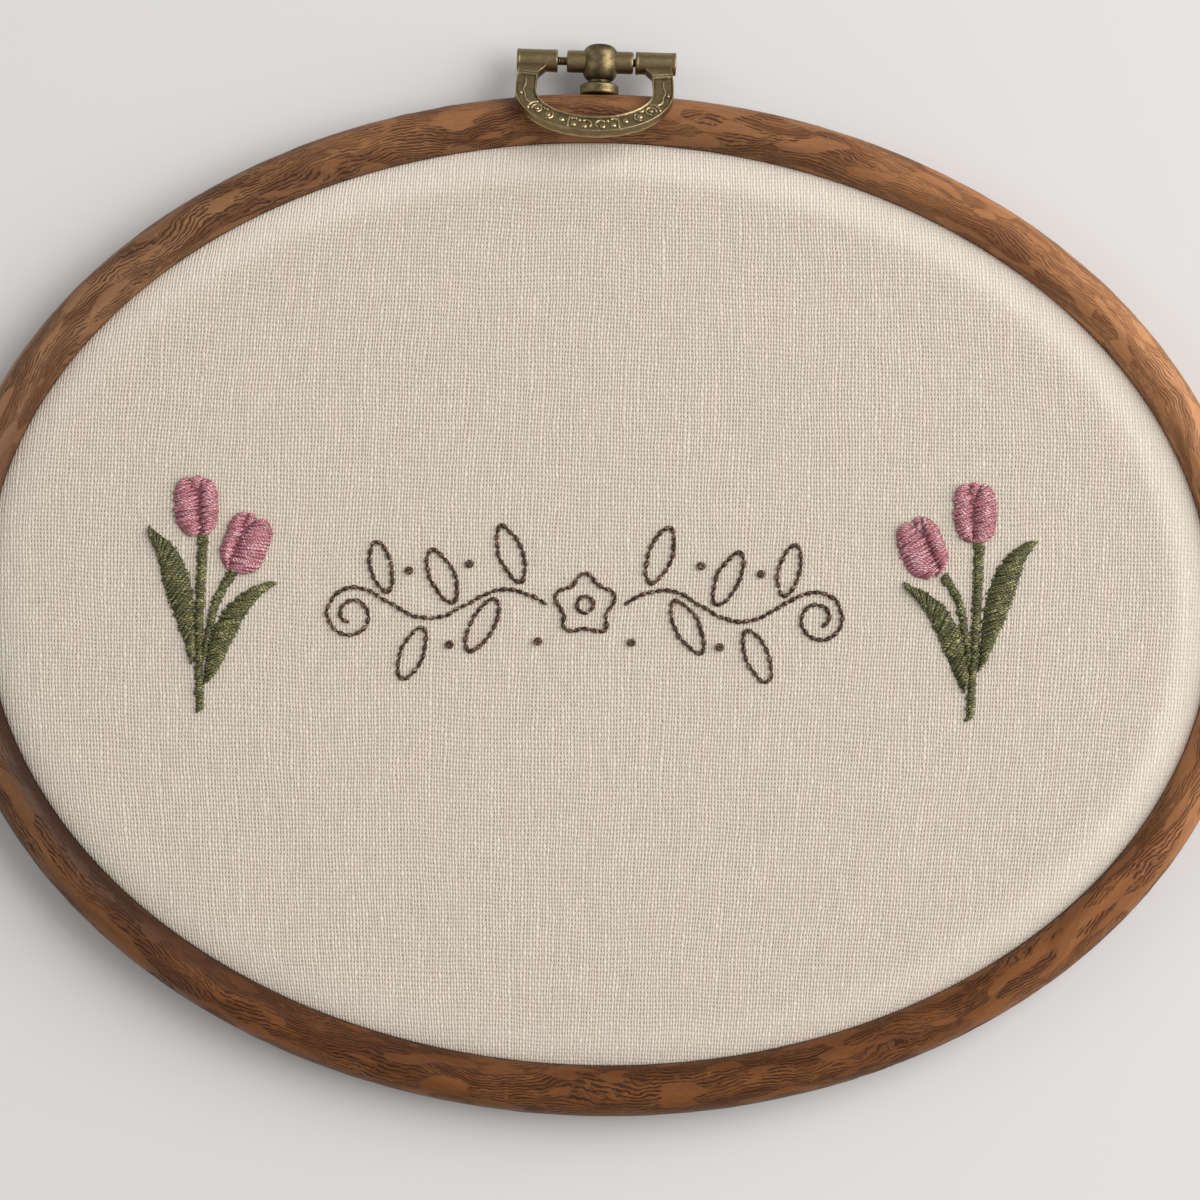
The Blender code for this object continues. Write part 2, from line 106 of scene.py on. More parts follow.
def ease(x, low, high):
    # smooth step from 0 at low to 1 at high
    t = np.clip((x - low) / (high - low), 0, 1)
    return t * t * (3 - 2 * t)


def raised(flat, height):
    # flat places with a height each
    return np.concatenate([flat, np.broadcast_to(height, flat.shape[:-1])[..., None]], -1)


def gridFaces(rows, columns, wrapRows=False):
    # four corners for each cell of a grid of points whose columns go all the way round
    i, j = np.meshgrid(np.arange(rows if wrapRows else rows - 1), np.arange(columns), indexing="ij")
    near, far, after = i * columns, (i + 1) % rows * columns, (j + 1) % columns
    return np.stack([near + j, far + j, far + after, near + after], -1).reshape(-1, 4)


def cappedFaces(rows, columns):
    # the same grid with a cap over its first and its last row
    first = np.arange(columns)
    return [gridFaces(rows, columns), np.stack([first, first + (rows - 1) * columns])]


def gridNormals(points, wrapRows=False):
    # unit normals of a grid of points, from the steps to its neighbours
    along = np.roll(points, -1, 0) - np.roll(points, 1, 0) if wrapRows else np.gradient(points, axis=0)
    normals = np.cross(along, np.roll(points, -1, 1) - np.roll(points, 1, 1))
    return normals / np.maximum(np.linalg.norm(normals, axis=-1, keepdims=True), 1e-9)


def standOut(points):
    # how far each point stands out of the middle of its neighbours: + on edges, - in corners
    rows = np.pad(points, ((1, 1), (0, 0), (0, 0)), mode="edge")
    middle = (rows[2:] + rows[:-2] + np.roll(points, -1, 1) + np.roll(points, 1, 1)) / 4
    return np.sum((points - middle) * gridNormals(points), -1)


def softened(corners, cut, steps=5):
    # a line through the corners with each inner corner rounded from cut before it to cut after it
    corners = np.array(corners, float)
    line = [corners[:1]]
    share = np.linspace(0, 1, steps)[:, None]
    for before, corner, after in zip(corners, corners[1:], corners[2:]):
        start, end = (corner + (other - corner) * min(cut / np.linalg.norm(other - corner), 0.45)
                      for other in (before, after))
        line.append((1 - share) ** 2 * start + 2 * share * (1 - share) * corner + share ** 2 * end)
    return np.concatenate(line + [corners[-1:]])


def placesAlong(line, run, places):
    # points at lengths along a line
    return np.stack([np.interp(places, run, line[:, k]) for k in range(line.shape[1])], -1)


def filled(line, step):
    # extra points along a line so that none are further apart than step
    run = lengthsAlong(line)
    places = [np.linspace(a, b, max(2, int(np.ceil((b - a) / step)) + 1))[:-1]
              for a, b in zip(run, run[1:])]
    return placesAlong(line, run, np.concatenate(places + [run[-1:]]))


def evenLine(line, count):
    # count + 1 points at even steps of length along a line
    run = lengthsAlong(line)
    return placesAlong(line, run, np.linspace(0, run[-1], count + 1))


def smoothCurve(points, count):
    # count + 1 points at even steps of length on a Catmull-Rom curve through the given points
    knots = np.array(points, float)
    knots = np.concatenate([[2 * knots[0] - knots[1]], knots, [2 * knots[-1] - knots[-2]]])
    spans = len(knots) - 3
    place = np.linspace(0, spans, 40 * spans + 1)
    k = np.minimum(place.astype(int), spans - 1)
    t = (place - k)[:, None]
    a, b, c, d = (knots[k + step] for step in range(4))
    line = 0.5 * (2 * b + (c - a) * t + (2 * a - 5 * b + 4 * c - d) * t ** 2
                  + (3 * b - a - 3 * c + d) * t ** 3)
    return evenLine(line, count)


def linked(name, data):
    # a new object in the scene
    obj = bpy.data.objects.new(name, data)
    bpy.context.scene.collection.objects.link(obj)
    return obj


class Shape:
    # gathers grids and tubes into one mesh; each point carries the named facts of its finish
    def __init__(self, *facts):
        self.points, self.faces, self.count = [], [], 0
        self.facts = {name: [] for name in facts}

    def add(self, points, faces, **values):
        # points with arrays of faces that number them from 0, and a value or one a point for each fact
        points = points.reshape(-1, 3)
        self.points.append(points)
        self.faces += [self.count + rows for rows in faces]
        self.count += len(points)
        for name, gathered in self.facts.items():
            value = np.asarray(values.get(name, 0.0), float)
            value = np.full(len(points), value) if value.ndim == 0 else value
            gathered.append(value.reshape(len(points), -1))

    def piece(self, name, material, sharp=60.0):
        # the object: points that meet are welded, and edges over sharp degrees stay sharp
        mesh = bpy.data.meshes.new(name)
        mesh.from_pydata((np.concatenate(self.points) * mm).tolist(), [],
                         [row for rows in self.faces for row in rows.tolist()])
        for fact, gathered in self.facts.items():
            values = np.concatenate(gathered)
            kind, key = ("FLOAT_VECTOR", "vector") if values.shape[1] == 3 else ("FLOAT", "value")
            made = mesh.attributes.new(fact, kind, "POINT")
            made.data.foreach_set(key, values.astype(np.float32).ravel())
        work = bmesh.new()
        work.from_mesh(mesh)
        bmesh.ops.remove_doubles(work, verts=work.verts, dist=2e-7)
        bmesh.ops.recalc_face_normals(work, faces=work.faces)
        work.to_mesh(mesh)
        work.free()
        mesh.shade_smooth()
        mesh.set_sharp_from_angle(angle=math.radians(sharp))
        mesh.materials.append(material)
        return linked(name, mesh)


def tubes(paths, half, rise, sides):
    # ovals half wide and rise high, carried along rows of paths (k, n, 3), with capped ends
    step = np.gradient(paths, axis=1)
    step /= np.maximum(np.linalg.norm(step, axis=-1, keepdims=True), 1e-9)
    side = np.cross(step, [0.0, 0.0, 1.0])
    side /= np.maximum(np.linalg.norm(side, axis=-1, keepdims=True), 1e-9)
    lift = np.cross(side, step)
    angle = 2 * np.pi * np.arange(sides) / sides
    ring = (half[..., None, None] * np.cos(angle)[:, None] * side[:, :, None]
            + rise[..., None, None] * np.sin(angle)[:, None] * lift[:, :, None])
    points = paths[:, :, None] + ring
    count, length = paths.shape[:2]
    first = np.arange(count)[:, None, None] * length * sides
    faces = [(first + part).reshape(-1, part.shape[1]) for part in cappedFaces(length, sides)]
    run = np.stack([lengthsAlong(path) for path in paths])
    along = np.broadcast_to(run[..., None], points.shape[:3])
    around = np.broadcast_to(angle / (2 * np.pi), points.shape[:3])
    return points, faces, along, around


def atAngle(radius, angle):
    # flat places at a radius and an angle
    return np.stack([radius * np.cos(angle), radius * np.sin(angle)], -1)


def spun(along, radius, angle, axis, centre):
    # rows of points around an axis through centre, from places along it, radii and angles
    across, up = np.moveaxis(atAngle(radius, angle), -1, 0)
    along = along + 0 * across
    return np.stack({"X": (along, across, up), "Y": (across, along, up)}[axis], -1) + centre


class Value:
    # an output of a material's node, worked with like a number
    def __init__(self, finish, socket):
        self.finish, self.socket = finish, socket

    def math(self, operation, other=0.0, third=0.0):
        return self.finish.node("Math", {0: self, 1: other, 2: third}, operation=operation)

    def __add__(self, other):
        return self.math("ADD", other)

    def __sub__(self, other):
        return self.math("SUBTRACT", other)

    def __mul__(self, other):
        return self.math("MULTIPLY", other)

    def __truediv__(self, other):
        return self.math("DIVIDE", other)

    def stepped(self, low, high, start=0.0, end=1.0):
        # start up to low, end from high on, and a smooth step between
        ends = {"From Min": low, "From Max": high, "To Min": start, "To Max": end}
        return self.finish.node("MapRange", {"Value": self} | ends, interpolation_type="SMOOTHSTEP")


class Finish:
    # a procedural material; each method adds a node to it and returns what the node gives
    def __init__(self, name):
        self.material = bpy.data.materials.new(name)
        self.material.use_nodes = True
        self.tree = self.material.node_tree

    def feed(self, made, inputs):
        # an input is a plain value or the Value that feeds it
        for key, value in inputs.items():
            if isinstance(value, Value):
                self.tree.links.new(value.socket, made.inputs[key])
            else:
                made.inputs[key].default_value = value

    def node(self, kind, inputs=None, out=0, **settings):
        made = self.tree.nodes.new("ShaderNode" + kind)
        for key, value in settings.items():
            setattr(made, key, value)
        self.feed(made, inputs or {})
        return Value(self, made.outputs[out])

    def place(self):
        return self.node("TexCoord", out="Object")

    def fact(self, name, out="Fac"):
        return self.node("Attribute", out=out, attribute_name=name)

    def parts(self, vector):
        made = self.node("SeparateXYZ", {0: vector}).socket.node
        return [Value(self, socket) for socket in made.outputs]

    def noise(self, vector, scale=1.0, detail=2.0, roughness=0.5, out="Fac"):
        inputs = {"Vector": vector, "Scale": scale, "Detail": detail, "Roughness": roughness}
        return self.node("TexNoise", inputs, out)

    def vectors(self, operation, a, b, c=(0, 0, 0)):
        return self.node("VectorMath", {0: a, 1: b, 2: c}, operation=operation)

    def cells(self, vector, size, detail=2.0):
        # noise whose cells are stretched, by a number for each axis
        return self.noise(self.vectors("MULTIPLY", vector, size), detail=detail)

    def mixed(self, share, a, b, blend="MIX"):
        # from a at share 0 to b at share 1
        return self.node("Mix", {0: share, 6: a, 7: b}, 2, data_type="RGBA", blend_type=blend)

    def coated(self, colour, *coats):
        # each coat is laid over the colour in its share
        for share, coat in coats:
            colour = self.mixed(share, colour, coat)
        return colour

    def bump(self, height, distance):
        return self.node("Bump", {"Height": height, "Distance": distance})

    def shade(self, **sockets):
        # set or feed the shader's sockets; the names have _ for a space
        self.feed(self.tree.nodes["Principled BSDF"],
                  {key.replace("_", " "): value for key, value in sockets.items()})
        return self.material


# The outer ring is soft plastic, moulded with a wood grain
ringLook = {
    "depth": 9.2,
    "wallTop": 6.3,      # height at which the inner wall ends
    "edge": 0.6,         # radius between the inner wall and the back
    "widest": 5.0,       # height of the widest place
    "crown": 0.46,       # share of the width at which the front is highest
    "power": 2.3,        # squareness of the front, where 2 is an ellipse
    "round": 1.5,        # radius of the outer side's foot
    "steps": 1480,       # points around the oval
    "waviness": 0.09,    # how far the moulded grain rises, in mm
    "grainCell": (3.2, 1.1), "warpCell": (5.0, 4.0),   # its cells, along and across, and its warp's
    "light": (0.575, 0.254, 0.100, 1), "middle": (0.325, 0.127, 0.046, 1),
    "dark": (0.080, 0.027, 0.010, 1), "scuff": (0.62, 0.44, 0.29, 1), "worn": (0.62, 0.34, 0.17, 1),
    "linePitch": 0.47,   # from one grain line to the next
    # partly the finish's own stain, partly painted light and shade (lighter towards the key light at the
    # upper right, darker away from it): how light it is at angles around the ring, and how much redder
    # than the grain's own colours
    "stain": ((0, 0.95, -0.7), (25, 1.20, -0.5), (60, 0.72, 0.1), (75, 0.52, 0.0), (110, 0.53, 0.0),
              (135, 0.55, -0.8), (160, 0.66, -1.1), (205, 0.35, -0.2), (240, 0.39, 1.4),
              (300, 0.38, 1.5), (330, 0.57, 0.7)),
    "darkSide": 205.0,   # angle at which the darkening along the inner edge, partly stain and partly painted crevice shade, is darkest
}


def ringSection(turn):
    # offset and height round the section, for every angle: crowned front, inner wall, back, outer side
    look = ringLook
    width = hoop["sideWidth"] + (hoop["topWidth"] - hoop["sideWidth"]) * np.sin(turn) ** 2
    crown, rise, power = look["crown"] * width, look["depth"] - look["widest"], look["power"]
    share = (look["wallTop"] - look["widest"]) / rise
    innerHalf = crown / (1 - share ** power) ** (1 / power)
    angle = np.linspace(0, np.pi - np.arcsin(share ** (power / 2)), 42)
    c, s = np.cos(angle), np.sin(angle)
    half = np.where(c > 0, width - crown, innerHalf)
    front = crown + half * np.sign(c) * np.abs(c) ** (2 / power), look["widest"] + rise * s ** (2 / power)
    down = np.linspace(look["wallTop"] - 0.5, look["edge"], 6)
    foot = width - look["round"]
    back = look["edge"] + (foot - look["edge"]) * np.linspace(0, 1, 6), np.zeros(6)
    bend = np.linspace(0, np.pi / 2, 12)[1:-1]
    side = (foot + look["round"] * np.sin(bend) ** (2 / 2.7),
            look["widest"] * (1 - np.cos(bend) ** (2 / 2.7)))
    parts = [np.broadcast_arrays(*part, width) for part in (front, (0 * down, down), back, side)]
    return *(np.concatenate([part[k] for part in parts], 1) for k in (0, 1)), width


def woodLookMaterial():
    # fine dark lines at an even pitch follow a gently warped section length, broken into strokes;
    # plain pale flecks lie between them
    look, wood = ringLook, Finish("woodLook")
    place = wood.fact("grainPlace", "Vector")
    x, y, section = wood.parts(place)
    line = wood.cells(place, (0.20, 0.20, 0.32), 1.5) * 1.5 + section
    line = wood.cells(place, (0.050, 0.050, 0.085), 1.0) * 9.0 + line
    line = wood.cells(place, (0.8, 0.8, 1.3), 1.0) * 0.45 + line

    def onLines(length, width, detail=2.0, roughness=0.5):
        # noise with long cells along the ring and narrow ones across the warped lines
        spot = wood.node("CombineXYZ", {0: x * length, 1: y * length, 2: line * width})
        return wood.noise(spot, 1.0, detail, roughness)

    wave = (line * (2 * math.pi / look["linePitch"])).math("SINE")
    strokes = wave.stepped(-0.15, 0.65) * onLines(0.55, 1.9, 2.0, 0.6).stepped(0.34, 0.48)
    blots = onLines(0.40, 1.7).stepped(0.58, 0.66)
    fibre = onLines(0.9, 6.5, 3.0, 0.65)
    cluster = wood.cells(place, (0.09, 0.09, 0.30)).stepped(0.34, 0.56)
    flecks = wood.cells(place, (0.15, 0.15, 0.50), 0.5).stepped(0.565, 0.60)
    streaks = onLines(0.06, 0.50).stepped(0.36, 0.64)
    scuffs = wood.noise(place, 1.1, 3.0, 0.7).stepped(0.60, 0.72)
    scuffs = scuffs * wood.noise(place, 0.07, 1.0).stepped(0.60, 0.68)
    dark = (strokes * (cluster * 0.45 + 0.42)).math("MAXIMUM", blots * 0.35)
    # the stain tone used here is partly the finish's own stain, partly painted light and shade: lighter
    # towards the key light
    dark = dark * (flecks * -0.9 + 1.0) * wood.fact("stain").stepped(0.45, 0.95, 1.0, 0.68)
    # the inner edge is darkened: partly a darker stain, partly painted shade of the crevice by the cloth
    colour = wood.coated(
        look["middle"], (streaks, look["light"]), (fibre.stepped(0.36, 0.72, 0.0, 0.40), look["dark"]),
        (dark, look["dark"]), (flecks * 0.40, look["light"]), (scuffs * 0.55, look["scuff"]),
        (wood.fact("edgeStain"), look["dark"]),
        (wood.fact("rim").stepped(0.55, 1.0, 0.0, 0.10), look["worn"]))
    colour = wood.mixed(1.0, colour, wood.fact("stain", "Color"), "MULTIPLY")
    return wood.shade(Base_Color=colour, Roughness=dark.stepped(0.0, 1.0, 0.46, 0.64),
                      Normal=wood.bump(fibre * 0.5 - dark, 0.00010), Specular_IOR_Level=0.24)


def makeOuterRing():
    # the section carried around the oval, raised by grain hills on its front; section is the length
    # round it, run the length around the oval, and grainPlace bends both onto a cylinder
    turn, length = evenTurns(ringLook["steps"], 3.0)
    offset, height, width = ringSection(turn[:, None])
    points = raised(aroundOval(turn[:, None], offset), height)
    normals = gridNormals(points, True)
    section = lengthsAlong(points[0]) + 0 * turn[:, None]
    run = (np.arange(len(turn)) * length / len(turn))[:, None]
    (fine, fineAcross), (wide, wideAcross) = (
        (round(length / ringLook[key][0]), ringLook[key][1]) for key in ("grainCell", "warpCell"))
    warped = section + 5.0 * hills(run * wide / length, section / wideAcross, 3, wide)
    relief = hills(run * fine / length, warped / fineAcross, 5, fine) - 0.5
    onFront = ease(height, 1.0, 3.0) * ease(offset, 0.1, 1.2)
    outward = np.sign(normals[0, 20, 2])
    points = points + outward * normals * (ringLook["waviness"] * relief * onFront)[..., None]
    radius = length / (2 * np.pi)
    grainPlace = raised(atAngle(radius, run / radius + 0 * section), section)
    # the stain tone: partly the finish's own stain, partly painted light and shade, lighter on the side
    # towards the key light
    towards, *levels = np.array(ringLook["stain"]).T
    shade, redder = (np.interp(np.degrees(turn), towards, level, period=360)[:, None] for level in levels)
    shade = shade * (1 + 0.25 * (hills(run * 14 / length, 0 * run, 8, 14) - 0.5)) + 0 * section
    stain = np.stack([shade, shade * (1 - 0.13 * redder), shade * (1 - 0.32 * redder)], -1)
    # darker along the inner edge by the cloth: partly stain, partly painted crevice shade
    towardsDark = np.cos(turn - math.radians(ringLook["darkSide"]))[:, None]
    edgeStain = (0.06 + 0.92 * np.maximum(0, towardsDark) ** 2.5) * (1 - ease(offset / width, 0.08, 0.66))
    shape = Shape("grainPlace", "rim", "stain", "edgeStain")
    shape.add(points, [gridFaces(*points.shape[:2], True)], grainPlace=grainPlace,
              rim=np.clip(offset / width, 0, 1), stain=stain, edgeStain=edgeStain)
    piece = shape.piece("outerRing", woodLookMaterial(), 80.0)
    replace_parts(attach(piece, "hoop"), "outer_ring")


makeOuterRing()
print("outer ring made")


# The cloth is one linen sheet, stretched over the inner ring and held by the outer one
clothLook = {
    "thickness": 0.45,
    "roll": 6.4, "drop": 1.35, "rollPower": 1.5,   # width, height and squareness of its rolled edge
    "hem": 0.9,          # height at which it ends between the rings
    "edgeGap": 0.05,     # between the cloth's side and the outer ring
    "paintedLightSide": 50.0,  # angle at which the cloth's edge gets the most painted light, and the inner ring shows most through the weave
    "warp": 0.48, "weft": 0.6225,      # thread pitch
    "bow": 0.075, "bowMiddle": 13.0,   # how much the warp draws in away from this height
    "unevenness": 0.12,
    "light": (0.865, 0.780, 0.688, 1), "middle": (0.640, 0.565, 0.486, 1), "dark": (0.20, 0.163, 0.120, 1),
    # the pale colour laid over the cloth's edge near the ring is painted light, strongest towards the key
    # light
    "slub": (0.92, 0.87, 0.82, 1), "paintedLight": (1.0, 0.94, 0.84, 1),
    "overRing": (0.52, 0.45, 0.37, 1),   # the weave's holes where the inner ring lies behind them, laid on more towards the key light as painted light
    "rosy": (1.0, 0.975, 0.950, 1), "greenish": (0.975, 0.980, 0.938, 1),
    # reach and strength, in threads, of the uneven lay of the warp and the weft
    "drifts": (((0.030, 0.030, 1), (2.6, 2.2, 0)), ((0.42, 0.030, 1), (1.0, 0, 0)),
               ((0.030, 0.42, 1), (0, 0.6, 0)), ((0.26, 0.20, 1), (0.6, 0.40, 0)),
               ((0.8, 0.6, 1), (0.45, 0.35, 0))),
}


def clothSwell(flat):
    # the face isn't quite flat: long soft hills
    x, y = flat[..., 0], flat[..., 1]
    return clothLook["unevenness"] * (hills(x / 26 + 40, y / 21 + 40, 11) - 0.5
                                      + 0.5 * hills(x / 9 + 40, y / 11 + 40, 12) - 0.25)


def clothSection(inset):
    # from the middle out: share of the face's size, offset at the edge, height and flat offset
    look = clothLook
    edge, shoulder = -look["edgeGap"], hoop["clothTop"] - look["drop"]
    faceEdge = edge - look["roll"]
    share = np.concatenate([[0.0], np.linspace(0.03, 1, 42)])
    angle = np.linspace(np.pi / 2, 0, 12)[1:]
    power = 2 / look["rollPower"]
    rollOffset = faceEdge + (look["roll"] - inset) * np.cos(angle) ** power
    rollHeight = shoulder + (look["drop"] - inset) * np.sin(angle) ** power
    down = np.linspace(shoulder, look["hem"], 9)[1:]
    offset = np.concatenate([0 * share + faceEdge, rollOffset, 0 * down + edge - inset])
    height = np.concatenate([0 * share + hoop["clothTop"] - inset, rollHeight, down])
    run = lengthsAlong(np.stack([offset, height], -1)[len(share) - 1:])
    flat = np.concatenate([0 * share[:-1] + faceEdge, faceEdge + run])
    share = np.concatenate([share, np.ones(len(offset) - len(share))])
    return share, offset, height, flat


def flatToWeave(flat):
    # where a flat point lies in the weave, in threads: the warp draws in above and below
    x, y = flat[..., 0], flat[..., 1] - hoopY
    drawn = 1 - clothLook["bow"] * ((y - clothLook["bowMiddle"]) / openingB) ** 2
    return np.stack([x / drawn / clothLook["warp"], y / clothLook["weft"], 0 * x], -1)


def linenMaterial():
    # plain weave: each thread is round across and waves over and under the threads it crosses
    look, linen = clothLook, Finish("linen")
    place = linen.fact("weave", "Vector")
    moved = place
    for reach, spread in look["drifts"]:
        drift = linen.noise(linen.vectors("MULTIPLY", place, reach), 1.0, 1.0, out="Color")
        drift = linen.vectors("SUBTRACT", drift, (0.5, 0.5, 0.5))
        moved = linen.vectors("MULTIPLY_ADD", drift, spread, moved)
    parts = linen.parts(moved)
    heights, slubs = [], []
    for across, along, width, low, swing in ((0, 1, 0.92, 0.76, 0.18), (1, 0, 0.86, 0.50, -0.16)):
        number = parts[across].math("FLOOR")
        middle = parts[across].math("FRACT") - 0.5
        spot = linen.node("CombineXYZ", {0: number * (7.31 + across), 1: parts[along] * 0.16})
        slub = linen.noise(spot, 1.0, 3.0, 0.65)
        share = middle * 2.0 / (slub + (width - 0.50))
        hump = (share * share * -1.0 + 1.0).math("MAXIMUM", 0.0)
        wave = (number * math.pi).math("COSINE") * (parts[along] * math.pi).math("SINE")
        heights.append(hump * (wave * swing + low))
        slubs.append(slub)
    height = heights[0].math("SMOOTH_MAX", heights[1], 0.25)
    tone = slubs[0] + slubs[1]
    # the holes are painted dark and the low sides of the threads darker than their crowns: painted shade
    # in the weave, lighter where the inner ring lies behind
    hole = linen.mixed(linen.fact("backed"), look["dark"], look["overRing"])
    colour = linen.coated(
        hole, (height.stepped(0.06, 0.46), look["middle"]), (height.stepped(0.46, 0.94), look["light"]),
        (tone.stepped(0.72, 1.28, 0.45, 0.0), look["middle"]),
        (slubs[0].stepped(0.70, 0.80, 0.0, 0.42), look["slub"]))
    patches = linen.cells(place, (0.21, 0.035, 1.0)).stepped(0.35, 0.65)
    colour = linen.mixed(1.0, colour, linen.mixed(patches, look["rosy"], look["greenish"]), "MULTIPLY")
    # painted light: the cloth's edge near the ring is made paler on the side towards the key light
    colour = linen.mixed(linen.fact("backed") * 0.30, colour, look["paintedLight"])
    height = linen.cells(place, (2.2, 2.2, 1.0)) * 0.25 + height
    return linen.shade(Base_Color=colour, Roughness=0.92, Normal=linen.bump(height, 0.00014),
                       Specular_IOR_Level=0.15, Sheen_Weight=0.25, Sheen_Roughness=0.5)


def makeCloth():
    # two layers of the section around the oval, joined at the hem; flat, unrolled places give the weave
    turn = evenTurns(720, 0.0)[0][None]
    centre = np.array([0.0, hoopY])
    layers = []
    # painted light on the cloth's edge near the ring, strongest towards the key light; it also sets how
    # much the inner ring shows through the weave
    facing = 0.35 + 0.65 * ease(np.cos(turn - math.radians(clothLook["paintedLightSide"])), -0.5, 0.5)
    for inset in (0.0, clothLook["thickness"]):
        share, offset, height, flat = (part[:, None] for part in clothSection(inset))
        place, spread = (centre + share[..., None] * (aroundOval(turn, reach) - centre)
                         for reach in (offset, flat))
        level = height + clothSwell(place) * ease(height, 5.5, 6.5)
        inward = (1 - share) * (openingA + openingB) / 2 - offset
        layers.append((raised(place, level), flatToWeave(spread), (1 - ease(inward, 3.6, 7.6)) * facing))
    points, weave, backed = (np.concatenate([outer, inner[::-1]]) for outer, inner in zip(*layers))
    shape = Shape("weave", "backed")
    shape.add(points, [gridFaces(*points.shape[:2])], weave=weave, backed=backed)
    piece = shape.piece("linenCloth", linenMaterial())
    flatOffset = clothSection(0.0)[3][-1]
    flatSize = 2 * (openingA + flatOffset) * mm, 2 * (openingB + flatOffset) * mm
    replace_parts(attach(piece, "hoop"), "cloth")
    math.pi / 4 * flatSize[0] * flatSize[1]
    print("cloth made, flat size", [round(side, 4) for side in flatSize])


makeCloth()


# The inner ring is plain moulded plastic under the cloth, seen from behind
innerLook = {
    "width": 2.8, "top": 6.0, "round": 1.3,
    "cloth": 1.0,        # room for the cloth around it, beside the clearances
    "colour": (0.62, 0.52, 0.38, 1), "cloudy": (0.70, 0.60, 0.45, 1),
}


def makeInnerRing():
    # a chamfered section around the oval, in faintly cloudy plastic
    look, plastic = innerLook, Finish("ivoryPlastic")
    place = plastic.place()
    cloudy = plastic.noise(place, 90.0, 3.0)
    material = plastic.shade(
        Base_Color=plastic.mixed(cloudy.stepped(0.3, 0.7), look["colour"], look["cloudy"]),
        Roughness=cloudy.stepped(0.3, 0.7, 0.38, 0.5),
        Normal=plastic.bump(plastic.noise(place, 1500.0), 0.00002))
    turn = evenTurns(720, -2.0)[0][:, None]
    outer, top = -(2 * hoop["clearance"] + look["cloth"]), look["top"]
    corners = [(outer - look["width"], 0.0), (outer, 0.0), (outer, top - look["round"]),
               (outer - 0.7, top - 0.35), (outer - 2.0, top), (outer - look["width"], top - 0.4)]
    section = filled(softened(corners + corners[:2], 0.35)[5:-1], 0.8)
    points = raised(aroundOval(turn, section[:, 0]), section[:, 1])
    shape = Shape()
    shape.add(points, [gridFaces(*points.shape[:2], True)])
    piece = shape.piece("innerRing", material, 50.0)
    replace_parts(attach(piece, "hoop"), "inner_ring")


makeInnerRing()
print("inner ring made")


# The stitching: satin threads for the sprigs, back stitches for the vine
threadCells = {"laid": 900.0, "speckle": 2300.0, "patch": 620.0, "pitShade": 3000.0}   # of noise, a metre
threads = {   # twist is the length of one turn of the plies
    "pink": {"dark": (0.23, 0.062, 0.078, 1), "middle": (0.64, 0.222, 0.262, 1),
             "light": (1.0, 0.70, 0.74, 1), "twist": 0.50, "gloss": 0.9},
    "olive": {"dark": (0.030, 0.030, 0.009, 1), "middle": (0.124, 0.122, 0.036, 1),
              "light": (0.52, 0.52, 0.22, 1), "twist": 0.50, "gloss": 0.5},
    "brown": {"dark": (0.020, 0.009, 0.005, 1), "middle": (0.105, 0.055, 0.036, 1),
              "light": (0.46, 0.31, 0.22, 1), "twist": 0.80, "gloss": 0.30},
}


def threadMaterial(name, look):
    # two plies twisted together: a slanting groove between them painted dark as painted shade, painted
    # glints (painted highlights) on their crowns, and dark specks of painted shade in the pits between
    # threads
    thread = Finish(name)
    along, around, tone = (thread.fact(name) for name in ("along", "around", "tone"))
    place, dark = thread.place(), look["dark"]
    laid, patch, pitShade = (thread.noise(place, threadCells[key], 1.0)
                           for key in ("laid", "patch", "pitShade"))
    laid = laid * 1.8 + along / look["twist"]
    ply = ((laid + around * 2.0) * math.pi).math("SINE").math("ABSOLUTE")
    speckle = thread.noise(place, threadCells["speckle"], 2.0, 0.6)
    glint = (ply.stepped(0.35, 0.90) * speckle.stepped(0.42, 0.58) * patch.stepped(0.42, 0.62, 0.12, 1.0)
             * (tone * 0.60 + 0.40))
    # the cushion is painted dark: painted shade in the seams between the petals
    cushionShade = tone.stepped(-1.0, -0.5, 0.85, 0.0)    # the cushion has the tone -1
    colour = thread.coated(
        dark, (ply.stepped(0.0, 0.80), look["middle"]), (tone.stepped(0.0, 0.5, 0.45, 0.0), dark),
        (cushionShade, dark), (pitShade.stepped(0.40, 0.48, 0.60, 0.0), dark), (glint, look["light"]))
    return thread.shade(Base_Color=colour, Roughness=speckle.stepped(0.3, 0.7, 0.24, 0.44),
                        Normal=thread.bump(speckle * 0.5 + ply, 0.00008), Specular_IOR_Level=look["gloss"])


pinkThread = threadMaterial("pinkThread", threads["pink"])
oliveThread = threadMaterial("oliveThread", threads["olive"])
brownThread = threadMaterial("brownThread", threads["brown"])

stitch = {
    "pitch": 0.33,       # from one satin thread to the next; two of them share each needle hole
    "half": 0.215,       # half width of a thread
    "rise": 0.18,        # half height of a thread
    "sink": 0.16,        # how far below the face its ends go
    "fullWidth": 2.2,    # width from which satin stitching is as high as it gets
    "scatter": 0.42,     # of the needle holes along the edges, in stitches
    "ends": (-0.22, 0.20),   # least and most that a thread stops short of its edge
    "heights": (0.84, 1.16), "widths": (0.86, 1.12),   # least and most, as shares
    "designTurn": 1.15,  # degrees, of the whole design against the hoop
}


def turned(points, degrees):
    # points turned about the origin, anticlockwise
    a = math.radians(degrees)
    return points @ np.array([[math.cos(a), math.sin(a)], [-math.sin(a), math.cos(a)]])


def onCloth(points, middle, turn=0.0, mirror=1):
    # a design's points placed on the hoop: mirrored, turned and moved
    points = np.asarray(points, float) * [mirror, 1]
    return turned(points, turn + stitch["designTurn"]) + middle + [0, hoopY]


def arch(share, power):
    # rises from 0 to 1 and falls again, steeper at the ends for a lower power
    return np.sin(np.pi * share) ** power


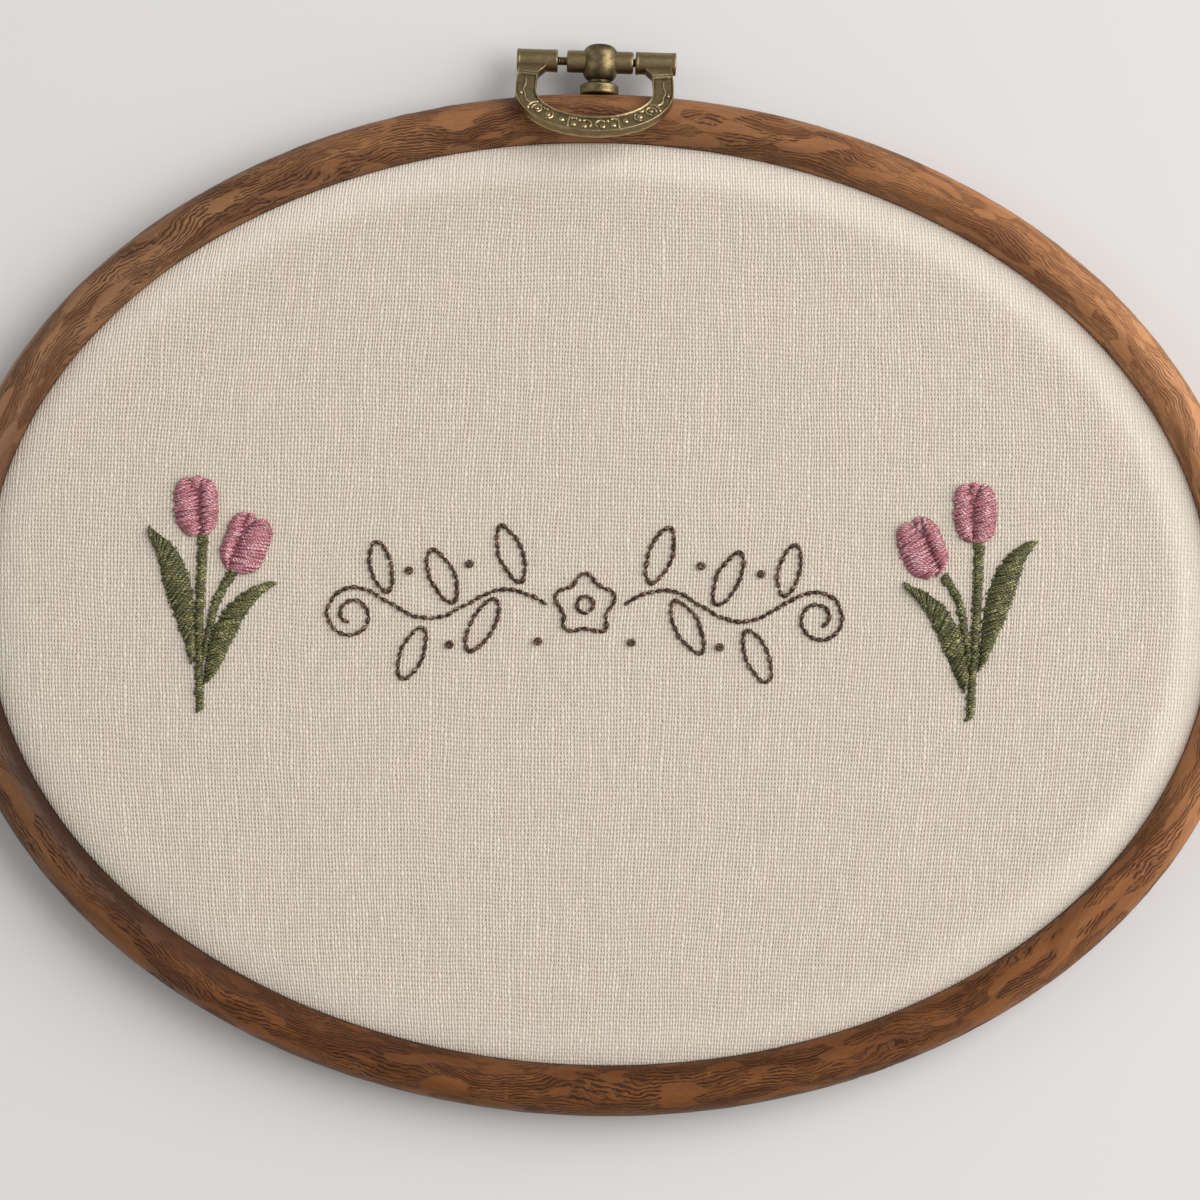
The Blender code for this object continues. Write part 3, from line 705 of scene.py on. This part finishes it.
def pickAlong(line, share):
    # points at shares of a line's number of steps
    return placesAlong(line, np.arange(len(line)), np.clip(share, 0, 1) * (len(line) - 1))


def sideways(line):
    # unit normals of a flat line, to its left
    step = np.gradient(line, axis=0)
    return np.stack([-step[:, 1], step[:, 0]], -1) / np.linalg.norm(step, axis=1, keepdims=True)


def lineEdges(curve, half):
    # left and right edges of a curve, half away from it
    return curve + half[:, None] * sideways(curve), curve - half[:, None] * sideways(curve)


def layThreads(shape, flat, level, half, rise, sides, draw):
    # threads along rows of flat places, each with a tone and a start of its twist of its own
    points, faces, along, around = tubes(raised(flat, level), half, rise, sides)
    tone = np.broadcast_to(draw.uniform(0, 1, (len(flat), 1, 1)), along.shape)
    shape.add(points, faces, along=along + draw.uniform(0, 2, (len(flat), 1, 1)), around=around, tone=tone)


def cushion(shape, left, right, swell):
    # the padding under the threads: a closed low pillow between the two edges
    rows = np.linspace(0.02, 0.98, 24)
    a, b = pickAlong(left, rows)[:, None], pickAlong(right, rows)[:, None]
    share = np.concatenate([np.linspace(0.04, 0.96, 9), np.linspace(0.96, 0.04, 4)])
    flat = a + share[:, None] * (b - a)
    up = np.concatenate([arch(np.linspace(0, 1, 9), 0.5), np.zeros(4)])
    wide = np.minimum(1, np.linalg.norm(b - a, axis=-1) / stitch["fullWidth"])
    floor = hoop["clothTop"] - 0.1
    level = np.where(up > 0, floor + clothSwell(flat) + (swell - 0.25) * wide ** 0.6 * up, floor)
    # tone -1 paints the cushion dark: painted shade in the seams between the petals
    shape.add(raised(flat, level), cappedFaces(*flat.shape[:2]), tone=-1.0)


def satin(shape, left, right, swell, slant, draw, insets=(0.10, 0.10)):
    # threads that zigzag between the left and the right edge, arched over a low cushion
    length = 0.5 * (lengthsAlong(left)[-1] + lengthsAlong(right)[-1])
    count = max(5, round(length / stitch["pitch"]))
    spot = (np.arange(count + 1) + 0.3) / (count + 0.6)
    spot = spot + draw.normal(0, stitch["scatter"] / count, count + 1)
    odd = np.arange(count + 1)[:, None] % 2
    holes = np.where(odd, pickAlong(right, spot + slant / 2), pickAlong(left, spot - slant / 2))
    across = holes[1:] - holes[:-1]
    wide = np.maximum(np.linalg.norm(across, axis=1, keepdims=True), 0.05)
    outward = np.concatenate([-across[:1] / wide[:1], across / wide])
    inset = np.where(odd, insets[1], insets[0])
    holes = holes - outward * (inset + draw.uniform(*stitch["ends"], (count + 1, 1)))
    start, end = holes[:-1, None], holes[1:, None]
    share = 0.5 - 0.5 * np.cos(np.pi * np.linspace(0, 1, 9))
    flat = start + share[:, None] * (end - start)
    tall = swell * np.minimum(1, wide / stitch["fullWidth"]) ** 0.6
    tall = tall * draw.uniform(*stitch["heights"], (count, 1))
    level = (hoop["clothTop"] - stitch["sink"] + clothSwell(flat)
             + (tall + stitch["sink"] - stitch["rise"]) * arch(share, 0.5))
    slim = 0.66 + 0.34 * arch(share, 0.3)
    half = stitch["half"] * slim * draw.uniform(*stitch["widths"], (count, 1))
    layThreads(shape, flat, level, half, stitch["rise"] * slim + 0 * half, 6, draw)
    cushion(shape, left, right, swell)


# Each sprig: where its foot is, and its two flowers by place (x, y), width, height and turn, and by the
# place of the seam between the big petals at the top and the foot, in half widths
sprigs = {
    "left": {"foot": (-59.2, -18.8), "mirror": 1, "lean": 1.0, "flowers": {
        "upright": (-1.05, 31.0, 6.9, 9.2, 2.0, 0.05, 0.25),
        "leaning": (6.55, 25.4, 7.2, 9.4, -20.0, -0.25, -0.4)}},
    "right": {"foot": (55.9, -16.6), "mirror": -1, "lean": -4.4, "flowers": {
        "upright": (0.9, 31.2, 6.8, 9.4, 2.0, 0.0, -0.2),
        "leaning": (-7.1, 25.8, 7.2, 9.4, 20.0, 0.2, 0.4)}},
}
# Stems by width and points; leaves also by what moves the widest place: 1 is half way up, more is higher
stems = {
    "tall": (1.35, ((0.0, 0.0), (0.0, 6.9), (0.0, 13.4), (0.25, 19.8), (0.6, 27.0))),
    "bent": (1.25, ((0.75, 8.2), (1.1, 11.0), (1.55, 12.9), (2.0, 14.7), (2.65, 17.0), (3.75, 19.1),
                    (5.55, 21.7))),
}
leaves = {
    "outer": (4.3, 1.35, ((-0.95, 7.4), (-1.6, 11.0), (-2.4, 15.5), (-3.4, 20.0), (-5.0, 24.4),
                          (-7.8, 27.9))),
    "inner": (3.6, 0.9, ((0.9, 4.3), (1.8, 7.0), (3.0, 10.4), (4.4, 13.4), (6.1, 15.9), (8.3, 17.9),
                         (11.5, 19.6))),
}
petal = {
    "gap": 0.22,                     # between two petals
    "foot": 0.015, "tip": 0.965,     # shares of the height at which the big petals start and end
    "notchFrom": 0.68, "notchSlope": 0.6, "least": 0.25,
    # how far the threads stop short of each edge
    "insets": {"left": (0.14, -0.08), "right": (-0.08, 0.14), "middle": (-0.22, -0.22)},
}


def petalEdges(width, height, seamTop, seamFoot):
    # left and right edges of the two big petals and of the small one between their tips; v and w are
    # shares of the height
    gap, tip, notchFrom = petal["gap"] / 2, petal["tip"], petal["notchFrom"]

    def outer(v):
        return 0.5 * width * (1 - np.abs(2 * v - 1) ** np.where(v > 0.5, 4.0, 2.8)) ** 0.5

    def seam(v):
        room = outer(np.minimum(v, tip)) - gap - petal["least"]
        return np.clip(0.5 * width * (seamFoot + (seamTop - seamFoot) * v), -room, room)

    def notch(v, side):
        room = outer(tip) - side * seam(tip) - gap - petal["least"]
        slope = min(petal["notchSlope"] * width, room / (tip - notchFrom))
        return slope * np.maximum(0.0, v - notchFrom)

    v = np.linspace(petal["foot"], tip, 60)
    w = np.linspace(0.78, 0.995, 30)
    taper = 1 - 0.55 * ease(w, 0.90, 0.995)
    edges = {"left": (v, -outer(v), seam(v) - gap - notch(v, -1)),
             "right": (v, seam(v) + gap + notch(v, 1), outer(v)),
             "middle": (w, seam(w) - notch(w, -1) * taper + gap, seam(w) + notch(w, 1) * taper - gap)}
    return {name: [np.stack([x, height * (share - 0.5)], -1) for x in sides]
            for name, (share, *sides) in edges.items()}


def makeSprig(side, sprig, seed):
    # leaves and stems in one piece, petals in another; a leaf's half width is a stretched sine with a
    # blunt foot and a slim tip
    draw = np.random.default_rng(seed)
    foot, mirror, lean = np.array(sprig["foot"]), sprig["mirror"], sprig["lean"]
    green, pink = Shape("along", "around", "tone"), Shape("along", "around", "tone")
    t = np.linspace(0, 1, 61)
    for width, fullest, points in leaves.values():
        full = arch(t ** fullest, 0.90) * (1 - 0.66 * t ** 5)
        half = 0.5 * width * (0.14 + 0.06 * t + 0.86 * full)
        curve = onCloth(smoothCurve(points, 60), foot, lean, mirror)
        satin(green, *lineEdges(curve, half), 0.85, 0.13, draw)
    for width, points in stems.values():
        half = 0.5 * width * (1.0 - 0.12 * np.cos(np.pi * t))
        curve = onCloth(smoothCurve(points, 60), foot, lean, mirror)
        satin(green, *lineEdges(curve, half), 0.80, 0.03, draw, (0.0, 0.0))
    for x, y, width, height, turn, *seam in sprig["flowers"].values():
        middle = onCloth([x, y], foot)
        edges = {name: [onCloth(line, middle - [0, hoopY], turn) for line in pair]
                 for name, pair in petalEdges(width, height, *seam).items()}
        outline = [0.96 * line[3:-2] + 0.04 * middle for line in (edges["left"][0], edges["right"][1])]
        cushion(pink, *outline, 0.50)
        for name, pair in edges.items():
            satin(pink, *pair, 1.05 if name != "middle" else 0.75, 0.10, draw, petal["insets"][name])
    petals = [f"{side}_{flower}_petal_{name}" for flower in sprig["flowers"] for name in petal["insets"]]
    greens = [f"{side}_{name}" for name in ("stem_tall", "stem_bent", "leaf_outer", "leaf_inner")]
    for shape, name, material, nodes, slot in (
            (pink, "Petals", pinkThread, petals, "pink_thread"),
            (green, "Leaves", oliveThread, greens, "olive_thread")):
        piece = shape.piece(side + name, material, 75.0)
        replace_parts(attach(piece, "hoop"), *nodes)
    print("sprig made:", side)


makeSprig("left", sprigs["left"], 21)
makeSprig("right", sprigs["right"], 22)


flourish = {
    "middle": (-2.0, -0.9),
    "rosette": 4.1, "lobe": 0.75, "eye": 1.35,   # radius of the rosette, of its waves and of its eye
    "start": 5.8,        # where the vine starts, from the rosette's middle
    "clear": 1.2,        # between the vine and its leaves
    "wave": 23.4, "rise": 2.3,                   # length and height of the vine's waves
    "curl": 4.1, "curlTurn": 520.0,              # radius and degrees of the curl
    "stitch": 1.30,      # length of one back stitch
    "half": 0.35,        # half width of the thread
    # leaves: place along the vine, side, angle from the side's upright, length and width
    "leaves": ((9.6, 1, -20.0, 9.4, 3.7), (13.2, -1, -28.0, 9.2, 3.6), (19.6, 1, -24.0, 9.0, 3.6),
               (24.2, -1, -22.0, 8.8, 3.5), (29.6, 1, -14.0, 8.2, 3.3)),
    # knots: place from the rosette's middle, and radius
    "knots": ((7.0, -5.6, 0.62), (17.4, 6.0, 0.62), (20.2, -6.2, 0.62), (26.4, 4.9, 0.62)),
}


def backStitches(shape, line, draw):
    # one short arched thread after another along a line, each end dipping into the cloth
    count = max(3, round(lengthsAlong(line)[-1] / flourish["stitch"]))
    places = evenLine(line, count)
    places[1:-1] += draw.normal(0, 0.06, (count - 1, 2))
    start, end = (spot + draw.normal(0, 0.05, (count, 2)) for spot in (places[:-1], places[1:]))
    share = 0.5 - 0.5 * np.cos(np.pi * np.linspace(0, 1, 8))
    flat = start[:, None] + (0.02 + 0.96 * share[:, None]) * (end - start)[:, None]
    level = (hoop["clothTop"] - 0.20 + clothSwell(flat)
             + 0.50 * arch(share, 0.7) * draw.uniform(0.85, 1.1, (count, 1)))
    slim = 0.36 + 0.64 * arch(share, 0.6)
    half = flourish["half"] * slim * draw.uniform(0.88, 1.1, (count, 1))
    layThreads(shape, flat, level, half, 0.85 * half, 7, draw)


def vinePoint(x):
    # the wavy vine: height is a sine of the place along it
    waves = (x - flourish["start"]) / flourish["wave"]
    return np.stack([x, flourish["rise"] * np.sin(2 * np.pi * waves)], -1)


def vineLine():
    # one and a quarter waves, then a curl whose radius shrinks as it winds in
    end = flourish["start"] + 1.25 * flourish["wave"]
    u = np.linspace(0, 1, 160)[1:]
    curl = atAngle(flourish["curl"] * (1 - 0.68 * u), np.radians(90 - flourish["curlTurn"] * u))
    stem = vinePoint(np.linspace(flourish["start"], end, 160))
    return np.concatenate([stem, curl + [end, flourish["rise"] - flourish["curl"]]])


def leafLine(start, angle, length, width):
    # a closed almond: along is half a cosine, across is a sine that narrows towards the ends
    a = np.linspace(0, 2 * np.pi, 121)
    across = 0.5 * width * np.sin(a) * (1 - 0.2 * np.abs(np.cos(a)))
    return start + turned(np.stack([0.5 * length * (1 - np.cos(a)), across], -1), angle)


def knot(shape, middle, radius, draw):
    # a thread wound into a small coil, with its end tucked into the middle
    u = np.linspace(0, 1, 34)
    a = 2 * np.pi * 1.9 * u + draw.uniform(0, 6)
    flat = middle + atAngle((radius - 0.18) * (1 - 0.85 * u ** 2), a)
    level = hoop["clothTop"] + 0.10 + 0.38 * np.sin(np.pi * (0.15 + 0.75 * u))
    paths = raised(flat, level)[None]
    points, faces, along, around = tubes(paths, np.full((1, 34), 0.24), np.full((1, 34), 0.22), 8)
    shape.add(points, faces, along=along, around=around, tone=0.5)


def makeFlourish():
    # a five-lobed rosette, and to each side a vine with its leaves and knots
    draw = np.random.default_rng(31)
    shape = Shape("along", "around", "tone")
    middle = np.array(flourish["middle"])
    a = np.linspace(0, 2 * np.pi, 181)
    lobes = flourish["rosette"] + flourish["lobe"] * np.cos(5 * a - np.pi / 2)
    for radius in (lobes, flourish["eye"]):
        backStitches(shape, onCloth(atAngle(radius, a), middle), draw)
    nodes = ["rosette", "rosette_eye"]
    for side, mirror in (("left", -1), ("right", 1)):
        backStitches(shape, onCloth(vineLine(), middle, 0.0, mirror), draw)
        nodes.append(f"vine_{side}")
        for number, (x, above, angle, length, width) in enumerate(flourish["leaves"], 1):
            start = vinePoint(x) + [0.0, above * flourish["clear"]]
            outline = leafLine(start, above * (90 + angle), length, width)
            backStitches(shape, onCloth(outline, middle, 0.0, mirror), draw)
            nodes.append(f"vine_leaf_{side}_{number}")
        for number, (x, y, radius) in enumerate(flourish["knots"], 1):
            knot(shape, onCloth([x, y], middle, 0.0, mirror), radius, draw)
            nodes.append(f"vine_knot_{side}_{number}")
    piece = shape.piece("vineStitches", brownThread, 75.0)
    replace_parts(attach(piece, "hoop"), *nodes)


makeFlourish()
print("vine made")


# The hanger is antiqued brass; its lengths start at the pin
hanger = {
    "shank": 1.1, "shankLength": 3.2, "flange": 2.95, "flangeHeight": 1.65, "neck": 1.75,
    "barrel": 2.75, "barrelPower": 3.0, "stub": 1.7, "stubReach": 5.05, "pin": 0.68, "sleeve": 1.77,
    "seat": 0.12,        # how deep the flange sits in the ring's side
    "sleeves": ((-12.65, -6.45), (5.36, 11.55)),   # from and to, from the post's middle
    "pitch": 0.36,       # of the pin's thread
    "shift": -0.7, "half": 10.4, "length": 14.4, "bow": 7.4, "lean": 0.7,   # the bail's centre line
    "band": 3.15, "thick": 1.5, "tilt": 35.8,      # its width, thickness and rest angle in degrees
    "dark": (0.050, 0.038, 0.020, 1), "middle": (0.252, 0.192, 0.098, 1),
    "bright": (0.52, 0.405, 0.225, 1),
}


def brassMaterial():
    # brown patina in the hollows, bare metal where edges and crowns are rubbed
    metal = Finish("antiqueBrass")
    place = metal.place()
    cloud, grain = metal.noise(place, 700.0, 4.0, 0.6), metal.noise(place, 4200.0)
    rubbed = metal.fact("wear") + (cloud * 1.7 - 0.85)
    colour = metal.coated(hanger["dark"], (rubbed.stepped(-0.75, 0.05), hanger["middle"]),
                          (rubbed.stepped(0.15, 0.95), hanger["bright"]))
    return metal.shade(Base_Color=colour, Metallic=1.0, Normal=metal.bump(cloud + grain, 0.00006),
                       Roughness=grain * 0.22 + rubbed.stepped(-0.5, 0.6, 0.40, 0.20))


brass = brassMaterial()


def addTurned(shape, corners, cut, axis, patinaAndReflection):
    # a part turned about an axis through the pin's middle, from corners of (place along the axis,
    # radius) that start and end on it; the last argument takes from the wear of the whole part: partly
    # patina, partly painted reflection that darkens or lightens the part
    profile = filled(softened(corners, cut, 6), 0.25)
    points = spun(profile[:, :1], profile[:, 1:], 2 * np.pi * np.arange(96) / 96, axis, pinPlace)
    widest = profile[:, 1].argmax()
    out = np.sign(np.sum(gridNormals(points)[widest, 0] * (points[widest, 0] - pinPlace)))
    wear = np.clip((out * standOut(points) - 0.004) / 0.006, -1, 0.9) - patinaAndReflection
    shape.add(points, [gridFaces(*points.shape[:2])], wear=wear)


def makePost():
    # shank, flange, neck and a bulging barrel turned about y, and a stub to each side about x
    look = hanger
    foot = openingB + hoop["topWidth"] - look["seat"] + hoopY - pinPlace[1]
    waist = foot + look["flangeHeight"]
    top = cadBox("hanger_post")[1][1] - pinPlace[1]
    barrel = [(foot - look["shankLength"], 0.0), (foot - look["shankLength"], look["shank"]),
              (foot, look["shank"]), (foot, look["flange"] - 0.15), (foot + 0.2, look["flange"]),
              (waist - 0.2, look["flange"]), (waist, look["flange"] - 0.35), (waist + 0.1, look["neck"])]
    above = np.sin(np.linspace(-np.pi / 2, np.pi / 2, 41))
    bulge = look["barrel"] * (1 - np.abs(above) ** look["barrelPower"]) ** (1 / look["barrelPower"])
    bulge = [(top * y * (1 if y > 0 else 1.2), r) for y, r in zip(above, bulge)
             if y > 0 or r > look["neck"]]
    barrel += [(bulge[0][0], look["neck"])] + bulge[:-1] + [(top, 0.0)]
    shape = Shape("wear")
    # the barrel is made darker: partly patina, partly painted dark reflection
    addTurned(shape, barrel, 0.12, "Y", 0.12)
    reach, radius, bore = look["stubReach"], look["stub"], look["pin"] + 0.12
    for side in (-1, 1):
        stub = [(0.5, 0.0), (0.5, radius), (reach - 0.25, radius), (reach, radius - 0.14), (reach, bore),
                (reach - 0.9, bore), (reach - 0.9, 0.0)]
        # the stubs are made lighter: partly wear, partly painted highlight
        addTurned(shape, [(side * x, r) for x, r in stub], 0.12, "X", -0.42)
    piece = shape.piece("hangerPost", brass, 50.0)
    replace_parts(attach(piece, "hoop"), "hanger_post")


def makePin():
    # a screw: the radius follows a wave that climbs one pitch in each turn
    look, rows, sides = hanger, 700, 20
    along = np.linspace(look["sleeves"][0][0] + 0.5, look["sleeves"][1][1] - 0.5, rows)[:, None]
    angle = 2 * np.pi * np.arange(sides) / sides
    thread = np.abs(((along / look["pitch"] - angle / (2 * np.pi)) % 1) - 0.5) * 2
    points = spun(along, look["pin"] - 0.11 * thread, angle, "X", pinPlace)
    shape = Shape("wear")
    shape.add(points, cappedFaces(rows, sides), wear=0.1 - 0.9 * thread)
    piece = shape.piece("hangerPin", brass, 50.0)
    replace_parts(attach(piece, "bail"), "hanger_pin")


def bailLine(count):
    # centre line: legs that lean in by a square, joined by a half ellipse; v runs away from the pin
    look = hanger
    spring = look["length"] - look["bow"]
    v = np.linspace(0.7 * look["sleeve"], spring, 60)[:-1]
    a = np.linspace(0, np.pi, 400)
    bow = atAngle(1, a) * [-look["half"], look["bow"]] + [0, spring]
    left = np.stack([-look["half"] + look["lean"] * ((spring - v) / spring) ** 2, v], -1)
    return evenLine(np.concatenate([left, bow, (left * [-1, 1])[::-1]]), count)


# Raised ornament of the bail's right half, mirrored to the left: place from the bow's middle along the
# band and place across it (+ outwards). Beads add a radius, arcs a radius and two angles (180 faces the
# bow's middle); lines run through such places
ornament = {
    "beads": ((1.35, 0.37, 0.44), (2.20, -0.68, 0.26), (3.00, 0.30, 0.42), (4.95, -0.15, 0.44),
              (7.30, -0.10, 0.44), (9.45, -0.05, 0.40), (10.35, 0.95, 0.22), (13.4, 0.75, 0.26)),
    "arcs": ((1.08, -0.10, 0.76, -45, -225), (7.30, -0.10, 0.82, 105, 245), (9.45, -0.05, 0.76, 135, 405)),
    "lines": (((3.95, -1.05), (3.86, -0.1), (3.70, 0.85)), ((3.60, -0.85), (3.25, -1.02), (2.85, -0.95)),
              ((7.95, -0.95), (8.35, -0.80), (8.75, -0.95)),
              ((10.6, -1.0), (10.85, -0.35), (10.75, 0.35), (10.35, 0.95)),
              ((10.9, -0.1), (11.8, 0.30), (12.9, 0.15), (14.2, 0.30), (15.4, 0.0), (16.4, 0.10))),
    "lineWidth": 0.16, "lineHeight": 0.72, "relief": 0.26,
}


def ornamentHeight(along, across):
    # height over the sunk floor, 0 to 1: domes for the beads and round ridges for the lines
    place = np.stack([np.abs(along), across], -1)
    height = np.zeros(along.shape)

    def dome(away, radius):
        # a half circle over the distance from its middle
        return np.sqrt(np.maximum(0, 1 - (np.linalg.norm(away, axis=-1) / radius) ** 2))

    for s, c, radius in ornament["beads"]:
        height = np.maximum(height, dome(place - [s, c], radius))
    curves = [smoothCurve(line, 14) for line in ornament["lines"]]
    curves += [[s, c] + atAngle(radius, np.radians(np.linspace(start, end, 15)))
               for s, c, radius, start, end in ornament["arcs"]]
    for curve in curves:
        for start, step in zip(curve, np.diff(curve, axis=0)):
            share = np.clip((place - start) @ step / np.sum(step ** 2), 0, 1)
            ridge = dome(place - start - share[..., None] * step, ornament["lineWidth"])
            height = np.maximum(height, ornament["lineHeight"] * ridge)
    return height


def makeBail():
    # a carved band along the centre line, tilted about the pin, with a sleeve at each leg; along runs
    # from the bow's middle and across from the band's middle
    look = hanger
    half, thick = look["band"] / 2, look["thick"] / 2
    line = bailLine(620)
    along = (np.linspace(-0.5, 0.5, len(line)) * lengthsAlong(line)[-1])[:, None]
    flat = half - 0.14    # half width of the front between its rounded edges
    front = np.linspace(-1, 1, 40) * flat
    rest = [(flat, thick), (half, thick), (half, -thick), (-half, -thick), (-half, thick), (-flat, thick)]
    rest = filled(softened(rest, 0.2)[1:-1], 0.4)
    across = np.concatenate([front, rest[:, 0]]) + 0 * along
    up = np.concatenate([0 * front + thick, rest[:, 1]]) + 0 * along
    onFront = np.concatenate([np.ones(len(front)), np.zeros(len(rest))])
    fromEnd = along[-1] - np.abs(along)
    sunk = (1 - ease(np.abs(across) / half, 0.80, 0.92)) * ease(fromEnd, 2.35, 2.75)
    carved = ornament["relief"] * (sunk * (1 - ornamentHeight(along + 0 * across, across)))
    tabLine = 0.14 * np.exp(-((fromEnd - 2.1) / 0.13) ** 2)
    up = up - onFront * np.maximum(carved, tabLine)
    flare = 0.9 * (1 - ease(fromEnd, 0.0, 2.2)) * np.maximum(0, -across) / half
    inPlane = line[:, None] + sideways(line)[:, None] * (across - flare)[..., None]
    points = raised(inPlane * [1, -1] + [look["shift"], 0], up)
    tilt = np.array(Matrix.Rotation(-math.radians(look["tilt"]), 3, "X"))
    points = points @ tilt.T + pinPlace
    out = np.sign(np.sum(gridNormals(points)[len(line) // 2, len(front) // 2] * tilt[:, 2]))
    depth = onFront * carved / ornament["relief"]
    wear = np.clip(out * standOut(points) / 0.008, -0.6, 0.9) - 0.16 * depth + 0.12
    shape = Shape("wear")
    shape.add(points, cappedFaces(*points.shape[:2]), wear=wear)
    radius, bore, lip = look["sleeve"], look["pin"] + 0.2, 0.4
    for low, high in look["sleeves"]:
        end = [(0.0, 0.0), (0.0, bore), (-lip, bore), (-lip, radius - 0.14), (0.12 - lip, radius),
               (0.4 - lip, radius), (0.46 - lip, radius - 0.06)]
        corners = [(low + lip + x, r) for x, r in end] + [(high - lip - x, r) for x, r in end[::-1]]
        # the sleeves are made lighter: partly wear, partly painted highlight
        addTurned(shape, corners, 0.08, "X", -0.50)
    piece = shape.piece("bailLoop", brass, 50.0)
    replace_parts(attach(piece, "bail"), "bail")


makePost()
makePin()
makeBail()
print("hanger made")


# Floor, light and camera
studio = {
    "floor": (0.71, 0.708, 0.703, 1), "floorPatch": (0.73, 0.727, 0.722, 1), "floorHalf": 2.0,
    "sky": 0.38, "skyColour": (1.0, 0.99, 0.98, 1),
    "key": {"towards": (1.0, 0.27, 0.82), "distance": 1.5, "size": 1.5, "power": 28.5,
            "colour": (1.0, 0.985, 0.97)},
    "fill": {"towards": (-1.0, 0.25, 0.75), "distance": 1.3, "size": 0.6, "power": 1.6,
             "colour": (0.96, 0.98, 1.0)},
}
view = {
    "distance": 600.0,   # from the face's middle
    "height": 7.0,       # of the place it looks at
    "scale": 0.15,       # mm for each pixel of the picture, at the face
    "pixels": 1200,      # width of the picture
    "sensor": 36.0,
    "slope": 4.5,        # degrees that the camera looks from below
    "roll": 1.7,         # degrees that the hoop looks turned clockwise
    "shiftX": 1.3, "shiftY": -0.5,   # pixels, to the right and up
}


def makeStudio():
    # a plain floor, a wide key light to the right, a weak fill light to the left and a pale sky
    paint = Finish("floorPaint")
    patches = paint.noise(paint.place(), 3.0)
    material = paint.shade(Base_Color=paint.mixed(patches, studio["floor"], studio["floorPatch"]),
                           Roughness=0.9, Specular_IOR_Level=0.2)
    h = studio["floorHalf"]
    mesh = bpy.data.meshes.new("floor")
    mesh.from_pydata([(-h, -h, 0), (h, -h, 0), (h, h, 0), (-h, h, 0)], [], [(0, 1, 2, 3)])
    mesh.materials.append(material)
    floor = linked("floor", mesh)
    for name in ("key", "fill"):
        lamp = studio[name]
        light = bpy.data.lights.new(name, "AREA")
        light.size, light.energy, light.color = lamp["size"], lamp["power"], lamp["colour"]
        holder, direction = linked(name, light), Vector(lamp["towards"]).normalized()
        holder.location = direction * lamp["distance"]
        holder.rotation_euler = direction.to_track_quat("Z", "Y").to_euler()
    world = bpy.data.worlds.new("studio")
    world.use_nodes = True
    sky = world.node_tree.nodes["Background"].inputs
    sky["Color"].default_value, sky["Strength"].default_value = studio["skyColour"], studio["sky"]
    bpy.context.scene.world = world
    bpy.context.scene.view_settings.view_transform = "Standard"


def makeCamera():
    # looks at the middle of the face from the front, a little from below and rolled
    facing = (Matrix.Rotation(math.radians(view["slope"]), 4, "X")
              @ Matrix.Rotation(math.radians(view["roll"]), 4, "Z"))
    shift = [view[key] * view["scale"] for key in ("shiftX", "shiftY")]
    away = facing @ Vector((*shift, view["distance"]))
    camera = linked("camera", bpy.data.cameras.new("camera"))
    camera.matrix_world = Matrix.Translation((Vector((0, hoopY, view["height"])) + away) * mm) @ facing
    camera.data.sensor_width = view["sensor"]
    camera.data.lens = view["sensor"] * view["distance"] / (view["pixels"] * view["scale"])
    camera.data.clip_start, camera.data.clip_end = 0.05, 20.0
    bpy.context.scene.camera = camera


makeStudio()
makeCamera()
